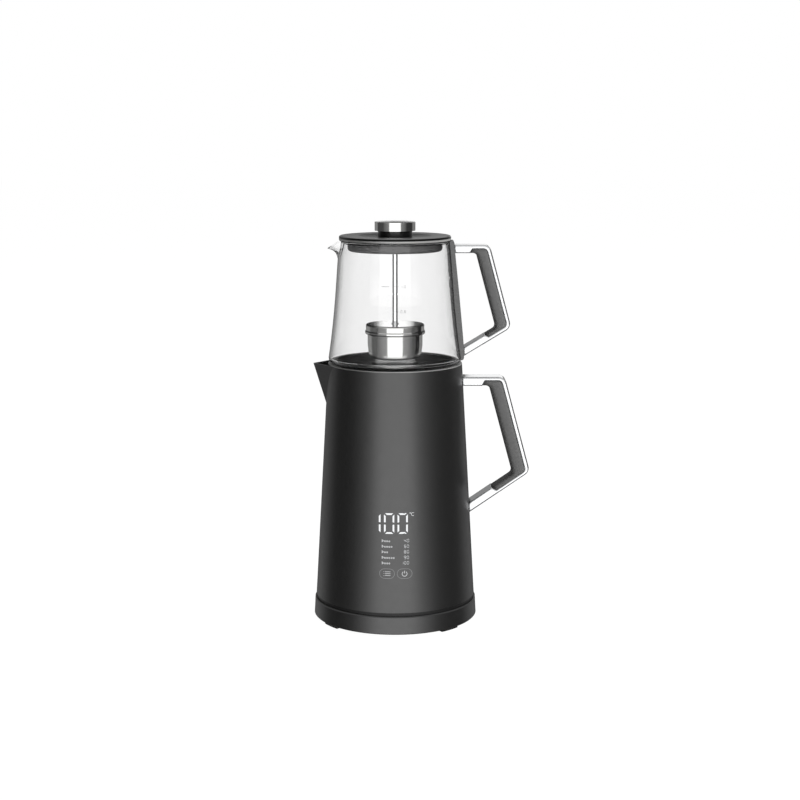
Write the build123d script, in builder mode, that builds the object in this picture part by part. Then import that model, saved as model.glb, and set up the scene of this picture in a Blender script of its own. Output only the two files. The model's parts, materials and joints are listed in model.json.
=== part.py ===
from build123d import *
from math import cos, hypot, radians, sin, sqrt, tan
import os

# Two-tier tea maker: a glass teapot with a lifting infuser stands on an electric kettle,
# which stands on its power base. Origin on the vertical axis at table level, +Z up,
# handles towards +X, spouts towards -X, display towards -Y. Millimetres.

# ---------------------------------------------------------------- driving sizes
# clearances
seat_gap = 0.2            # between fixed pieces that nest in one another
lift_gap = 0.6            # between pieces that part when a tier is lifted
fit_gap = 0.05            # between fixed pieces that follow each other's curve
run_gap = 0.05            # radial, rod in its guide
glass_gap = 0.15          # between the glass and what is strapped to it
twist_gap = 0.3           # between the cup's lugs and the tabs they pass

# power base
foot_drop = 2.6           # how far the rubber feet stand proud
foot_radius = 8.0
foot_sink = 1.0
foot_margin = 2.6         # between a foot and the base's wall
foot_angle = 84.0
base_radius = 79.0
base_top_radius = 78.2
base_height = 17.0        # from the base's lower edge to its deck
base_wall = 2.4
base_edge = 0.8
plate_thick = 2.4
plateau_gap = 1.5         # between the plateau's foot and the kettle's ring
plateau_rise = 4.9
plateau_draft = 1.5
screw_circle = 56.0
screw_shank = 1.4
screw_head = 3.0
screw_head_thick = 1.4
screw_length = 9.0
screw_turn = 60.0         # screws lie between the feet
boss_radius = 4.0
vent_slots = 12
vent_circle = 38.0
vent_length = 12.0
vent_width = 2.5
gland_radius = 6.0
gland_flange = 1.5
gland_bore = 3.5
gland_inset = 6.3         # flange behind the base's side

# round connector between base and kettle
hub_radius = 20.0
hub_rise = 4.5            # above the plateau
hub_flange = 4.0
hub_flange_thick = 2.4
hub_depth = 8.0           # body below the flange
slot_radii = (14.2, 8.2)  # mean radii of the two annular contact slots, outer one first
slot_width = 2.6
slot_depth = 12.0
contact_thick = 1.2
pin_radius = 2.6
pin_bore = 3.4
contact_tip_gap = 0.5

# kettle body
foot_ring_rise = 3.5      # visible ring between base and shell
foot_ring_inset = 0.8
foot_ring_width = 5.2
kettle_height = 225.5     # shell, lower edge to rim
kettle_foot_radius = 77.0
kettle_rim_radius = 64.2
shell_wall = 2.5
cover_thick = 2.5
cover_screw_inset = 15.0  # screws in from the shell's foot
cover_boss_height = 12.0
cover_rib = 3.0
coupler_wall = 5.0
coupler_flange = 4.0
coupler_flange_thick = 2.0
coupler_roof = 7.0
coupler_draft = 1.0

# pouring beak of the kettle
beak_reach = 78.6         # tip, from the axis
beak_half_angle = 26.1    # where its sides meet the rim
beak_drop = 38.6          # height of the ridge
beak_wall = 2.0
beak_tip_radius = 1.2
beak_point = 0.04         # size of the lower end against the mouth
beak_floor = 8.0          # the hollow ends this far above the lower end
rim_bridge = 6.6          # depth of the rim left standing across the beak

# inner tank
tank_rim_space = 6.2      # between the tank and the outside of the rim
tank_wall = 0.8
tank_floor_z = 50.0
tank_corner = 5.0
tank_below_rim = 4.6
strainer_slots = 7
strainer_pitch = 3.6
strainer_width = 2.0
strainer_height = 13.0
strainer_drop = 1.0       # slots below the rim's bridge
collar_lip = 3.4          # depth of the collar's inner lip
collar_skirt = 8.0
collar_wall = 1.9
collar_edge = 1.0
collar_flange_edge = 0.2
seal_thick = 1.4

# heater and controls
heater_margin = 12.0      # plate in from the tank's wall
heater_thick = 3.0
element_margin = 10.0     # element in from the plate's edge
element_radius = 3.3
element_sweep = 310.0
terminal_radius = 1.5
terminal_length = 8.0
cutout_radius = 9.0
cutout_thick = 5.0
sensor_radius = 2.5
sensor_margin = 8.5       # sensor in from the tank's wall
sensor_rise = 12.0
sensor_drop = 7.0
sensor_round = 1.5
grommet_radius = 4.5
grommet_thick = 1.5
board_thick = 1.6
board_inner = 33.0
board_margin = 17.0       # board in from the shell's foot
board_sweep = 150.0       # over its three posts
board_ends = 15.0         # board beyond each end of the sweep
board_rise = 4.0
board_gap = 1.0
post_radius = 2.0
relay_size = (18.0, 16.0, 11.0)
relay_margin = 9.5        # relay in from the board's edge
relay_angle = 135.0

# display behind the shell front
display_width = 46.0
display_mid_x = -2.0
display_low_z = 50.0
display_high_z = 126.0
display_corner = 2.6
display_gap_to_tank = 2.6
display_edge = 0.8       # thickness of the mask at its upper corner
display_board_inset = 1.0
digit_count = 3
digit_height = 19.9
digit_width = 9.9
digit_stroke = 2.0
digit_pitch = 12.6
digit_mid_x = -5.6
digit_mid_z = 108.2
segment_bridge = 0.4
unit_size = (4.4, 3.8)
unit_place = (15.4, 117.0)
row_count = 5
row_pitch = 5.25
row_top_z = 91.9
row_height = 3.0
row_width = 28.0
row_mid_x = 0.4
key_length = 15.0
key_height = 10.4
key_pitch = 16.4
key_mid_x = 0.8
key_z = 60.8

# handles: outer outline given by its two corners and the root of its lower arm
handle_width = 22.0
handle_edge = 1.6
handle_inner_edge = 1.0
handle_side_gap = 0.3     # grip narrower than the bar on each side
grip_corner = 4.5
grip_back_corner = 4.3
kettle_handle_top = (105.0, 236.2)
kettle_handle_low = (129.9, 144.2)
kettle_handle_root = (72.4, 104.5)
kettle_handle_corner = 8.0
kettle_bar = (3.4, 3.9, 3.1)
kettle_handle_depth = (8.3, 16.8, 7.8)
kettle_grip_starts = (83.1, 24.3)
kettle_grip_slant = 2.3
kettle_grip_round = 3.8
kettle_low_screw_rise = 6.5   # lower screw above the outer root of the arm
teapot_handle_top = (89.3, 362.3)
teapot_handle_low = (110.4, 284.0)
teapot_handle_root = (66.2, 257.0)
teapot_handle_corner = 7.8
teapot_bar = (3.9, 3.45, 3.55)
teapot_handle_depth = (7.8, 14.3, 7.0)
teapot_grip_starts = (70.6, 12.4)
teapot_grip_slant = 2.0
teapot_grip_round = 2.7
teapot_low_screw_rise = 5.5
handle_screw_radius = 1.75
handle_screw_head = 3.4
handle_screw_head_thick = 1.6
handle_screw_length = 8.0    # from the seat of its head

# teapot glass: outer wall as (radius, height above its foot)
glass_wall = 2.2
glass_floor = 2.7
glass_wall_points = ((63.6, 5.8), (58.9, 42.8), (56.8, 65.8), (54.3, 99.8), (52.7, 116.3))
glass_heel = (62.9, 2.5)
heel_inset = (0.8, 0.5)   # how far the heel follows the wall inwards and upwards
glass_foot_radius = 60.4
glass_foot_width = 3.0
glass_foot_rise = 0.8
glass_foot_draft = 30.0
glass_rim_round = 0.9
seat_rise = 0.6           # collar seat above the kettle rim
lip_reach = 10.8          # tip of the pouring lip beyond the rim
lip_drop = 17.2
lip_slope = 30.0
lip_centre = 46.0
lip_flare = ((3.6, 1.0, 10.0), (6.9, 3.1, 12.0), (9.1, 7.1, 13.5), (17.2, 14.0, 15.0))
# flare of the lip: height above its lower end, reach beyond it and half width

# strap of the teapot handle: outer face as (x, height above the foot)
strap_points = ((65.6, 10.0), (64.6, 26.0), (63.0, 43.0), (60.2, 72.0), (57.3, 99.8), (55.8, 114.0))
strap_width = 25.0
strap_low = 3.6           # lower end above the foot
strap_round = 2.6
clip_width = 10.0
clip_thick = 0.5
clip_drop = 9.0
rivet_radius = 2.4
rivet_thick = 1.2

# teapot lid, heights above the glass rim
lid_radius = 53.1
trim_radius = 53.1
trim_low = 0.8
trim_thick = 2.1
trim_width = 3.3
lid_seal_low = 0.2
lid_seal_radius = 52.4
lid_seal_sleeve = 49.3    # part of the seal that reaches down inside the glass
lid_seal_depth = 2.2
lid_thick = 1.2
lid_rim_height = 2.2
lid_rim_width = 2.4
lid_fall = 0.2            # how far the top falls towards its dish
dish_radius = 35.6        # shallow dish round the knob
lid_flat = 1.0            # flat ring round the knob's neck
plug_radius = 45.0
plug_depth = 9.6          # lowest face below the glass rim
plug_wall = 2.0
plug_corner = 3.0
guide_radius = 4.4
guide_length = 10.0

# knob, rod and infuser
rod_radius = 2.6
groove_drop = 51.5        # below the glass rim
groove_width = 1.6
groove_depth = 0.5
neck_radius = 16.3
neck_height = 5.6
cap_radius = 19.3
cap_height = 8.9
cap_wall = 0.8
cap_crown = 0.5
nut_flats = 7.0
nut_thick = 3.0
infuser_radius = 27.9
infuser_cover_height = 9.5
infuser_bead = 0.8
infuser_bead_height = 3.6
infuser_bead_slope = 1.1
steel_gauge = 0.8
infuser_clear = 1.8       # cup above the teapot floor
cup_radius = 26.2
cup_low_radius = 24.7
cup_taper_height = 12.8   # the cup widens up to here
cup_corner = 5.0
cup_neck_radius = 25.8
tab_count = 3
tab_sweep = 16.0
lug_sweep = 30.0
tab_depth = 0.75
cup_neck_rise = 2.0       # cup rim above its lugs
cup_height = 23.3         # part of the cup below the cover's skirt
tab_thick = 0.8
cup_hole_radius = 1.1
cup_ring_counts = (6, 12)
cup_ring_radii = (6.0, 12.0)

# ---------------------------------------------------------------- heights and radii
base_z = foot_drop
deck_z = base_z + base_height
plateau_z = deck_z + plateau_rise
hub_top_z = plateau_z + hub_rise
shell_z = deck_z + foot_ring_rise
rim_z = shell_z + kettle_height
seat_z = rim_z + seat_rise
taper = (kettle_foot_radius - kettle_rim_radius) / kettle_height
glass_z = seat_z
glass_rim_z = glass_z + glass_wall_points[-1][1]
plate_bottom_z = glass_rim_z + trim_low + trim_thick
knob_z = plate_bottom_z + lid_thick
cap_z = knob_z + neck_height
cap_top_z = cap_z + cap_height
cup_z = glass_z + glass_floor + infuser_clear
rim_angle = radians(beak_half_angle)
cover_z = plateau_z + lift_gap
foot_circle = base_radius - base_wall - foot_margin - foot_radius
ring_radius = kettle_foot_radius - foot_ring_inset
plateau_radius = ring_radius - foot_ring_width - plateau_gap - plateau_draft
cover_screw_circle = kettle_foot_radius - cover_screw_inset
board_outer = kettle_foot_radius - board_margin
relay_circle = board_outer - relay_margin
screw_angle = foot_angle + screw_turn
kettle_screw_heights = (
    kettle_handle_top[1] - kettle_handle_depth[0] / 2,
    kettle_handle_root[1] + kettle_low_screw_rise,
)
teapot_screw_heights = (
    teapot_handle_top[1] - teapot_handle_depth[0] / 2,
    teapot_handle_root[1] + teapot_low_screw_rise,
)


def shell_radius(z):
    """Outer radius of the tapering kettle shell."""
    return kettle_foot_radius - (z - shell_z) * taper


def shifted(start, end, distance):
    """The line start-end moved to its right-hand side."""
    dx = end[0] - start[0]
    dz = end[1] - start[1]
    side = (distance * dz / hypot(dx, dz), -distance * dx / hypot(dx, dz))
    return [(p[0] + side[0], p[1] + side[1]) for p in (start, end)]


def crossing(first, second):
    """Point where two lines meet, each given by two points."""
    (ax, az), (bx, bz) = first
    (cx, cz), (dx, dz) = second
    turn = (bx - ax) * (dz - cz) - (bz - az) * (dx - cx)
    along = ((cx - ax) * (dz - cz) - (cz - az) * (dx - cx)) / turn
    return ax + along * (bx - ax), az + along * (bz - az)


def inset_outline(outline, depths):
    """A handle's outline moved inwards by one depth for each of its three sides."""
    sides = [shifted(outline[i], outline[i + 1], depths[i]) for i in range(3)]
    return [sides[0][0], crossing(sides[0], sides[1]), crossing(sides[1], sides[2]), sides[2][1]]


def handle_outline(top, low, root, inner_x):
    """Outer outline from the upper root round both corners, carried in to inner_x."""
    slope = (low[1] - root[1]) / (low[0] - root[0])
    return [(inner_x, top[1]), top, low, (inner_x, root[1] - slope * (root[0] - inner_x))]


def grip_ends(outline, inner, bar, starts, slant):
    """Slanting ends of the grip: upper pair and lower pair of points."""
    upper = [(starts[0], inner[0][1]), (starts[0] + slant, bar[0][1])]
    root, corner = inner[3], inner[2]
    run = hypot(corner[0] - root[0], corner[1] - root[1])
    unit = ((corner[0] - root[0]) / run, (corner[1] - root[1]) / run)
    near = (corner[0] - unit[0] * starts[1], corner[1] - unit[1] * starts[1])
    far = (near[0] + unit[0] * slant, near[1] + unit[1] * slant)
    across = (far, (far[0] + unit[1], far[1] - unit[0]))
    return upper, [near, crossing(across, (bar[2], bar[3]))]


def along_path(path, tolerance=0.05):
    """Selector for edges that lie beside a path in the handle's mid plane."""
    return lambda edge: path.distance_to(Vector(edge.center().X, 0, edge.center().Z)) < tolerance


# ---------------------------------------------------------------- power base
gland_z = (base_z + plate_thick + deck_z - base_wall) / 2
side_slope = (base_radius - base_top_radius) / (deck_z - base_z)
gland_side = base_radius - side_slope * (gland_z - base_z) - abs(side_slope) * gland_radius
gland_seat = gland_side - gland_inset

with BuildPart() as base_shell:
    with BuildSketch(Plane.XZ):
        Polygon(
            (0, base_z),
            (base_radius - base_edge, base_z),
            (base_radius, base_z + base_edge),
            (base_top_radius, deck_z - base_edge),
            (base_top_radius - base_edge, deck_z),
            (plateau_radius + plateau_draft, deck_z),
            (plateau_radius, plateau_z),
            (0, plateau_z),
            align=None,
        )
    revolve(axis=Axis.Z)
    with BuildSketch(Plane.XZ):
        Polygon(
            (0, base_z),
            (base_radius - base_wall, base_z),
            (base_top_radius - base_wall, deck_z - base_wall),
            (plateau_radius - base_wall, deck_z - base_wall),
            (plateau_radius - base_wall, plateau_z - base_wall),
            (0, plateau_z - base_wall),
            align=None,
        )
    revolve(axis=Axis.Z, mode=Mode.SUBTRACT)
    with BuildSketch(Plane.XY.offset(base_z + plate_thick)):
        with PolarLocations(screw_circle, 3, start_angle=screw_angle):
            Circle(boss_radius)
    extrude(until=Until.NEXT)
    with BuildSketch(Plane.XY.offset(base_z + plate_thick)):
        with PolarLocations(screw_circle, 3, start_angle=screw_angle):
            Circle(screw_shank)
    extrude(amount=screw_length, mode=Mode.SUBTRACT)
    with BuildSketch(Plane.XY.offset(plateau_z)):
        Circle(hub_radius + seat_gap)
    extrude(amount=-base_wall, mode=Mode.SUBTRACT)
    with BuildSketch(Plane.XZ.offset(-gland_seat)):
        with Locations((0, gland_z)):
            Circle(gland_radius - gland_flange)
    extrude(amount=-3 * gland_inset, mode=Mode.SUBTRACT)

with BuildPart() as base_plate:
    with BuildSketch(Plane.XY.offset(base_z)):
        Circle(base_radius - base_wall - seat_gap)
        with PolarLocations(vent_circle, vent_slots):
            SlotOverall(vent_length, vent_width, mode=Mode.SUBTRACT)
        with PolarLocations(screw_circle, 3, start_angle=screw_angle):
            Circle(screw_shank + seat_gap, mode=Mode.SUBTRACT)
    extrude(amount=plate_thick)
    with BuildSketch(Plane.XY.offset(base_z)):
        with PolarLocations(foot_circle, 3, start_angle=foot_angle):
            Circle(foot_radius)
    extrude(amount=foot_sink, mode=Mode.SUBTRACT)
    with BuildSketch(Plane.XY.offset(base_z)):
        with PolarLocations(screw_circle, 3, start_angle=screw_angle):
            Circle(screw_head + seat_gap)
    extrude(amount=screw_head_thick, mode=Mode.SUBTRACT)

with BuildPart() as base_feet:
    with BuildSketch():
        with PolarLocations(foot_circle, 3, start_angle=foot_angle):
            Circle(foot_radius)
    extrude(amount=foot_drop + foot_sink)
    chamfer(base_feet.faces().sort_by(Axis.Z)[:3].edges(), foot_drop / 3)

with BuildPart() as base_screws:
    with BuildSketch(Plane.XY.offset(base_z)):
        with PolarLocations(screw_circle, 3, start_angle=screw_angle):
            Circle(screw_head)
    extrude(amount=screw_head_thick)
    with BuildSketch(Plane.XY.offset(base_z + screw_head_thick)):
        with PolarLocations(screw_circle, 3, start_angle=screw_angle):
            Circle(screw_shank)
    extrude(amount=screw_length - screw_head_thick)

with BuildPart() as base_connector:
    hub_flange_z = plateau_z - base_wall - hub_flange_thick
    with BuildSketch(Plane.XZ):
        Polygon(
            (0, hub_flange_z - hub_depth),
            (hub_radius, hub_flange_z - hub_depth),
            (hub_radius, hub_flange_z),
            (hub_radius + hub_flange, hub_flange_z),
            (hub_radius + hub_flange, hub_flange_z + hub_flange_thick),
            (hub_radius, hub_flange_z + hub_flange_thick),
            (hub_radius, hub_top_z - base_edge),
            (hub_radius - base_edge, hub_top_z),
            (0, hub_top_z),
            align=None,
        )
    revolve(axis=Axis.Z)
    with BuildSketch(Plane.XY.offset(hub_top_z)):
        for radius in slot_radii:
            Circle(radius + slot_width / 2)
            Circle(radius - slot_width / 2, mode=Mode.SUBTRACT)
        Circle(pin_bore)
    extrude(amount=-slot_depth, mode=Mode.SUBTRACT)

slot_floor_z = hub_top_z - slot_depth

with BuildPart() as base_contacts:
    with BuildSketch(Plane.XY.offset(slot_floor_z)):
        for radius in slot_radii:
            Circle(radius + slot_width / 2)
            Circle(radius - slot_width / 2, mode=Mode.SUBTRACT)
        Circle(pin_bore)
    extrude(amount=contact_thick)

with BuildPart() as cord_gland:
    with BuildSketch(Plane.XZ.offset(-gland_seat)):
        with Locations((0, gland_z)):
            Circle(gland_radius - gland_flange)
    extrude(amount=-3 * gland_inset)
    with BuildSketch(Plane.XZ.offset(-gland_seat)):
        with Locations((0, gland_z)):
            Circle(gland_radius)
    extrude(amount=gland_flange)
    with BuildSketch(Plane.XZ):
        Polygon(
            (0, base_z),
            (base_radius + seat_gap, base_z),
            (base_top_radius + seat_gap, deck_z),
            (0, deck_z),
            align=None,
        )
    revolve(axis=Axis.Z, mode=Mode.INTERSECT)
    with BuildSketch(Plane.XZ.offset(-gland_seat + gland_flange)):
        with Locations((0, gland_z)):
            Circle(gland_bore)
    extrude(amount=-3 * gland_inset, mode=Mode.SUBTRACT)

# ---------------------------------------------------------------- kettle underside
cover_inner_radius = kettle_foot_radius - shell_wall - seat_gap
coupler_radius = hub_radius + lift_gap + coupler_wall
coupler_roof_z = hub_top_z + 2 * lift_gap
board_z = cover_z + cover_thick + board_rise
board_mid = (board_inner + board_outer) / 2

with BuildPart() as kettle_bottom_cover:
    with BuildSketch(Plane.XZ):
        Polygon(
            (0, cover_z),
            (ring_radius - foot_ring_width, cover_z),
            (ring_radius - foot_ring_width, deck_z),
            (ring_radius, deck_z),
            (ring_radius, shell_z),
            (cover_inner_radius, shell_z),
            (cover_inner_radius - taper * (cover_z + cover_thick - shell_z), cover_z + cover_thick),
            (0, cover_z + cover_thick),
            align=None,
        )
    revolve(axis=Axis.Z)
    with BuildSketch(Plane.XY.offset(cover_z)):
        Circle(coupler_radius + seat_gap)
        with PolarLocations(cover_screw_circle, 3, start_angle=foot_angle):
            Circle(screw_shank + seat_gap)
    extrude(amount=cover_thick, mode=Mode.SUBTRACT)
    with BuildSketch(Plane.XY.offset(cover_z + cover_thick)):
        with PolarLocations(board_mid, 3, start_angle=90 - board_sweep / 3, angular_range=board_sweep):
            Circle(post_radius)
    extrude(amount=board_rise)

with BuildPart() as kettle_cover_screws:
    with BuildSketch(Plane.XY.offset(cover_z - seat_gap)):
        with PolarLocations(cover_screw_circle, 3, start_angle=foot_angle):
            Circle(screw_head)
    extrude(amount=seat_gap)
    with BuildSketch(Plane.XY.offset(cover_z)):
        with PolarLocations(cover_screw_circle, 3, start_angle=foot_angle):
            Circle(screw_shank)
    extrude(amount=cover_thick + screw_length)

with BuildPart() as kettle_coupler:
    with BuildSketch(Plane.XZ):
        Polygon(
            (0, coupler_roof_z),
            (hub_radius + lift_gap, coupler_roof_z),
            (hub_radius + lift_gap, cover_z),
            (coupler_radius, cover_z),
            (coupler_radius, cover_z + cover_thick),
            (coupler_radius + coupler_flange, cover_z + cover_thick),
            (coupler_radius + coupler_flange, cover_z + cover_thick + coupler_flange_thick),
            (coupler_radius, cover_z + cover_thick + coupler_flange_thick),
            (coupler_radius - coupler_draft, coupler_roof_z + coupler_roof),
            (0, coupler_roof_z + coupler_roof),
            align=None,
        )
    revolve(axis=Axis.Z)

with BuildPart() as coupler_contacts:
    contact_tip_z = slot_floor_z + contact_thick + contact_tip_gap
    with BuildSketch(Plane.XY.offset(contact_tip_z)):
        for radius in slot_radii:
            Circle(radius + contact_thick / 2)
            Circle(radius - contact_thick / 2, mode=Mode.SUBTRACT)
        Circle(pin_radius)
    extrude(amount=coupler_roof_z - contact_tip_z)

# ---------------------------------------------------------------- kettle shell and beak
beak_run = beak_reach - kettle_rim_radius * cos(rim_angle)
beak_half = kettle_rim_radius * sin(rim_angle)
beak_foot_z = rim_z - beak_drop
beak_foot_x = -shell_radius(beak_foot_z)
bridge_z = rim_z - rim_bridge
space_tip = beak_reach - beak_wall * hypot(beak_run, beak_half) / beak_half
space_size = (space_tip - beak_reach + beak_run) / beak_run
cover_boss_z = cover_z + cover_thick + cover_boss_height


def beak_outline(tip_x, size):
    """Triangle in plan with its tip towards -X, size 1 for the mouth."""
    back_x = tip_x + size * beak_run
    return [(tip_x, 0), (back_x, size * beak_half), (back_x, -size * beak_half)]


with BuildPart() as beak_space:
    with BuildSketch(Plane.XY.offset(rim_z)):
        Polygon(*beak_outline(-space_tip, space_size), align=None)
    with BuildSketch(Plane.XY.offset(beak_foot_z + beak_floor)):
        Polygon(*beak_outline(beak_foot_x + beak_wall / 2, beak_point), align=None)
    loft()

with BuildPart() as beak:
    with BuildSketch(Plane.XY.offset(rim_z)) as mouth:
        Polygon(*beak_outline(-beak_reach, 1), align=None)
        fillet(mouth.vertices().sort_by(Axis.X)[0], beak_tip_radius)
    with BuildSketch(Plane.XY.offset(beak_foot_z)) as point:
        Polygon(*beak_outline(beak_foot_x, beak_point), align=None)
        fillet(point.vertices().sort_by(Axis.X)[0], beak_tip_radius * beak_point)
    loft()
    add(beak_space.part, mode=Mode.SUBTRACT)
    with BuildSketch(Plane.XZ):
        Polygon(
            (0, shell_z),
            (kettle_foot_radius - shell_wall / 2, shell_z),
            (kettle_rim_radius - shell_wall / 2, rim_z),
            (0, rim_z),
            align=None,
        )
    revolve(axis=Axis.Z, mode=Mode.SUBTRACT)

with BuildPart() as beak_gate:
    add(beak_space.part)
    split(bisect_by=Plane.XY.offset(bridge_z), keep=Keep.BOTTOM)

with BuildPart() as kettle_shell:
    with BuildSketch(Plane.XZ):
        Polygon(
            (kettle_foot_radius - shell_wall, shell_z),
            (kettle_foot_radius, shell_z),
            (kettle_rim_radius, rim_z),
            (kettle_rim_radius - shell_wall, rim_z),
            align=None,
        )
    revolve(axis=Axis.Z)
    add(beak_gate.part, mode=Mode.SUBTRACT)
    add(beak.part)
    with BuildSketch(Plane.XY.offset(cover_z + cover_thick)):
        with PolarLocations(cover_screw_circle, 3, start_angle=foot_angle):
            Circle(boss_radius)
            with Locations((kettle_foot_radius - cover_screw_circle, 0)):
                Rectangle(2 * (kettle_foot_radius - cover_screw_circle), cover_rib)
        Circle(shell_radius(cover_boss_z) - shell_wall / 2, mode=Mode.INTERSECT)
    extrude(amount=cover_boss_height)
    with BuildSketch(Plane.XY.offset(cover_z)):
        with PolarLocations(cover_screw_circle, 3, start_angle=foot_angle):
            Circle(screw_shank)
    extrude(amount=cover_thick + screw_length, mode=Mode.SUBTRACT)
    with BuildSketch(Plane.YZ):
        with Locations(*((0, z) for z in kettle_screw_heights)):
            Circle(handle_screw_radius + seat_gap)
    extrude(amount=kettle_foot_radius, mode=Mode.SUBTRACT)

# ---------------------------------------------------------------- inner tank and collar
display_inside = shell_radius(display_high_z) - shell_wall - seat_gap
display_back = sqrt(display_inside**2 - (display_width / 2 - display_mid_x) ** 2) - display_edge
display_room = board_thick + display_gap_to_tank + tank_wall
tank_radius = min(kettle_rim_radius - tank_rim_space, display_back - display_room)
tank_top_z = rim_z - tank_below_rim
tank_outer = tank_radius + tank_wall
sensor_offset = tank_radius - sensor_margin
heater_radius = tank_radius - heater_margin
element_circle = heater_radius - element_margin
seal_top_z = tank_top_z + seal_thick

with BuildPart() as kettle_tank:
    with BuildSketch(Plane.XY.offset(tank_floor_z - tank_wall)):
        Circle(tank_outer)
    extrude(amount=tank_top_z - tank_floor_z + tank_wall)
    fillet(kettle_tank.edges().group_by(Axis.Z)[0], tank_corner)
    offset(amount=-tank_wall, openings=kettle_tank.faces().sort_by(Axis.Z)[-1])
    with BuildSketch(Plane.YZ.offset(-tank_outer - tank_wall)):
        with Locations((0, bridge_z - strainer_height / 2 - strainer_drop)):
            with GridLocations(strainer_pitch, 0, strainer_slots, 1):
                SlotOverall(strainer_height, strainer_width, rotation=90)
    extrude(amount=tank_radius / 2, mode=Mode.SUBTRACT)
    with BuildSketch(Plane.XY.offset(tank_floor_z - 2 * tank_wall)):
        with Locations((sensor_offset, 0)):
            Circle(sensor_radius + seat_gap)
    extrude(amount=3 * tank_wall, mode=Mode.SUBTRACT)

with BuildPart() as tank_seal:
    with BuildSketch(Plane.XY.offset(tank_top_z)):
        Circle(tank_outer)
        Circle(tank_radius, mode=Mode.SUBTRACT)
    extrude(amount=seal_thick)

with BuildPart() as kettle_collar:
    collar_outer = kettle_rim_radius - shell_wall - seat_gap
    collar_flange = kettle_rim_radius - seat_gap
    with BuildSketch(Plane.XZ):
        Polygon(
            (tank_radius, seal_top_z),
            (tank_radius, seat_z - collar_edge),
            (tank_radius + collar_edge, seat_z),
            (collar_flange - collar_flange_edge, seat_z),
            (collar_flange, seat_z - collar_flange_edge),
            (collar_flange, rim_z),
            (collar_outer, rim_z),
            (collar_outer, rim_z - collar_lip - collar_skirt),
            (collar_outer - collar_wall, rim_z - collar_lip - collar_skirt),
            (collar_outer - collar_wall, seal_top_z),
            align=None,
        )
    revolve(axis=Axis.Z)
    with BuildSketch(Plane.XY.offset(bridge_z)):
        with Locations((-collar_outer, 0)):
            Rectangle(kettle_rim_radius / 2, strainer_slots * strainer_pitch + strainer_width)
    extrude(amount=-collar_skirt, mode=Mode.SUBTRACT)

# ---------------------------------------------------------------- heater and controls
heater_z = tank_floor_z - tank_wall - heater_thick
element_z = heater_z - element_radius

with BuildPart() as heater_plate:
    with BuildSketch(Plane.XY.offset(heater_z)):
        Circle(heater_radius)
    extrude(amount=heater_thick)
    chamfer(heater_plate.edges().group_by(Axis.Z)[0], heater_thick / 3)

with BuildPart() as heating_element:
    with BuildSketch(Plane.XZ):
        with Locations((element_circle, element_z)):
            Circle(element_radius)
    revolve(axis=Axis.Z, revolution_arc=element_sweep)
    with BuildSketch(Plane.XY.offset(element_z)):
        with PolarLocations(element_circle, 2, start_angle=-element_sweep, angular_range=element_sweep):
            Circle(terminal_radius)
    extrude(amount=-terminal_length)

with BuildPart() as thermal_cutout:
    with BuildSketch(Plane.XY.offset(heater_z)):
        Circle(cutout_radius)
    extrude(amount=-cutout_thick)
    with BuildSketch(Plane.XY.offset(heater_z - cutout_thick)):
        Rectangle(cutout_radius, cutout_radius / 2)
    extrude(amount=-(heater_z - cutout_thick - coupler_roof_z - coupler_roof))

with BuildPart() as temperature_sensor:
    with BuildSketch(Plane.XY.offset(tank_floor_z - sensor_drop)):
        with Locations((sensor_offset, 0)):
            Circle(sensor_radius)
    extrude(amount=sensor_drop + sensor_rise)
    fillet(temperature_sensor.edges().group_by(Axis.Z)[-1], sensor_round)

with BuildPart() as sensor_grommet:
    with BuildSketch(Plane.XY.offset(tank_floor_z)):
        with Locations((sensor_offset, 0)):
            Circle(grommet_radius)
            Circle(sensor_radius, mode=Mode.SUBTRACT)
    extrude(amount=grommet_thick)

board_half = radians(board_sweep / 2 + board_ends)
board_side = 2 * board_outer * sin(board_half)
board_back = 2 * board_outer * cos(board_half)

with BuildPart() as power_board:
    with BuildSketch(Plane.XY.offset(board_z)):
        Circle(board_outer)
        Circle(board_inner, mode=Mode.SUBTRACT)
        Polygon(
            (0, 0),
            (board_side, board_back),
            (0, 2 * board_outer),
            (-board_side, board_back),
            align=None,
            mode=Mode.INTERSECT,
        )
        with PolarLocations(cover_screw_circle, 3, start_angle=foot_angle):
            Circle(boss_radius + board_gap, mode=Mode.SUBTRACT)
    extrude(amount=board_thick)

with BuildPart() as relay:
    with BuildSketch(Plane.XY.offset(board_z + board_thick)):
        with PolarLocations(relay_circle, 1, start_angle=relay_angle):
            Rectangle(relay_size[0], relay_size[1])
    extrude(amount=relay_size[2])

# ---------------------------------------------------------------- display and touch keys
display_height = display_high_z - display_low_z
display_mid_z = (display_low_z + display_high_z) / 2


def display_face(depth):
    """Wedge that fills the shell's inside down to a given distance from the axis."""
    with BuildPart() as wedge:
        with BuildSketch(Plane.XZ):
            Polygon(
                (0, shell_z),
                (kettle_foot_radius - shell_wall - seat_gap, shell_z),
                (kettle_rim_radius - shell_wall - seat_gap, rim_z),
                (0, rim_z),
                align=None,
            )
        revolve(axis=Axis.Z)
        with BuildSketch(Plane.XZ.offset(depth)):
            with Locations((display_mid_x, display_mid_z)):
                RectangleRounded(display_width, display_height, display_corner)
        extrude(amount=kettle_foot_radius, mode=Mode.INTERSECT)
    return wedge.part


bar_x = (digit_width - digit_stroke) / 2
bar_z = (digit_height + segment_bridge) / 4
rung_z = (digit_height - digit_stroke) / 2
bar_length = (digit_height - segment_bridge) / 2
rung_length = digit_width - 2 * digit_stroke - 2 * segment_bridge
bars = [(-bar_x, -bar_z), (-bar_x, bar_z), (bar_x, -bar_z), (bar_x, bar_z)]
rungs = [(0, -rung_z), (0, 0), (0, rung_z)]
display_wedge = display_face(display_back)

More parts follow.
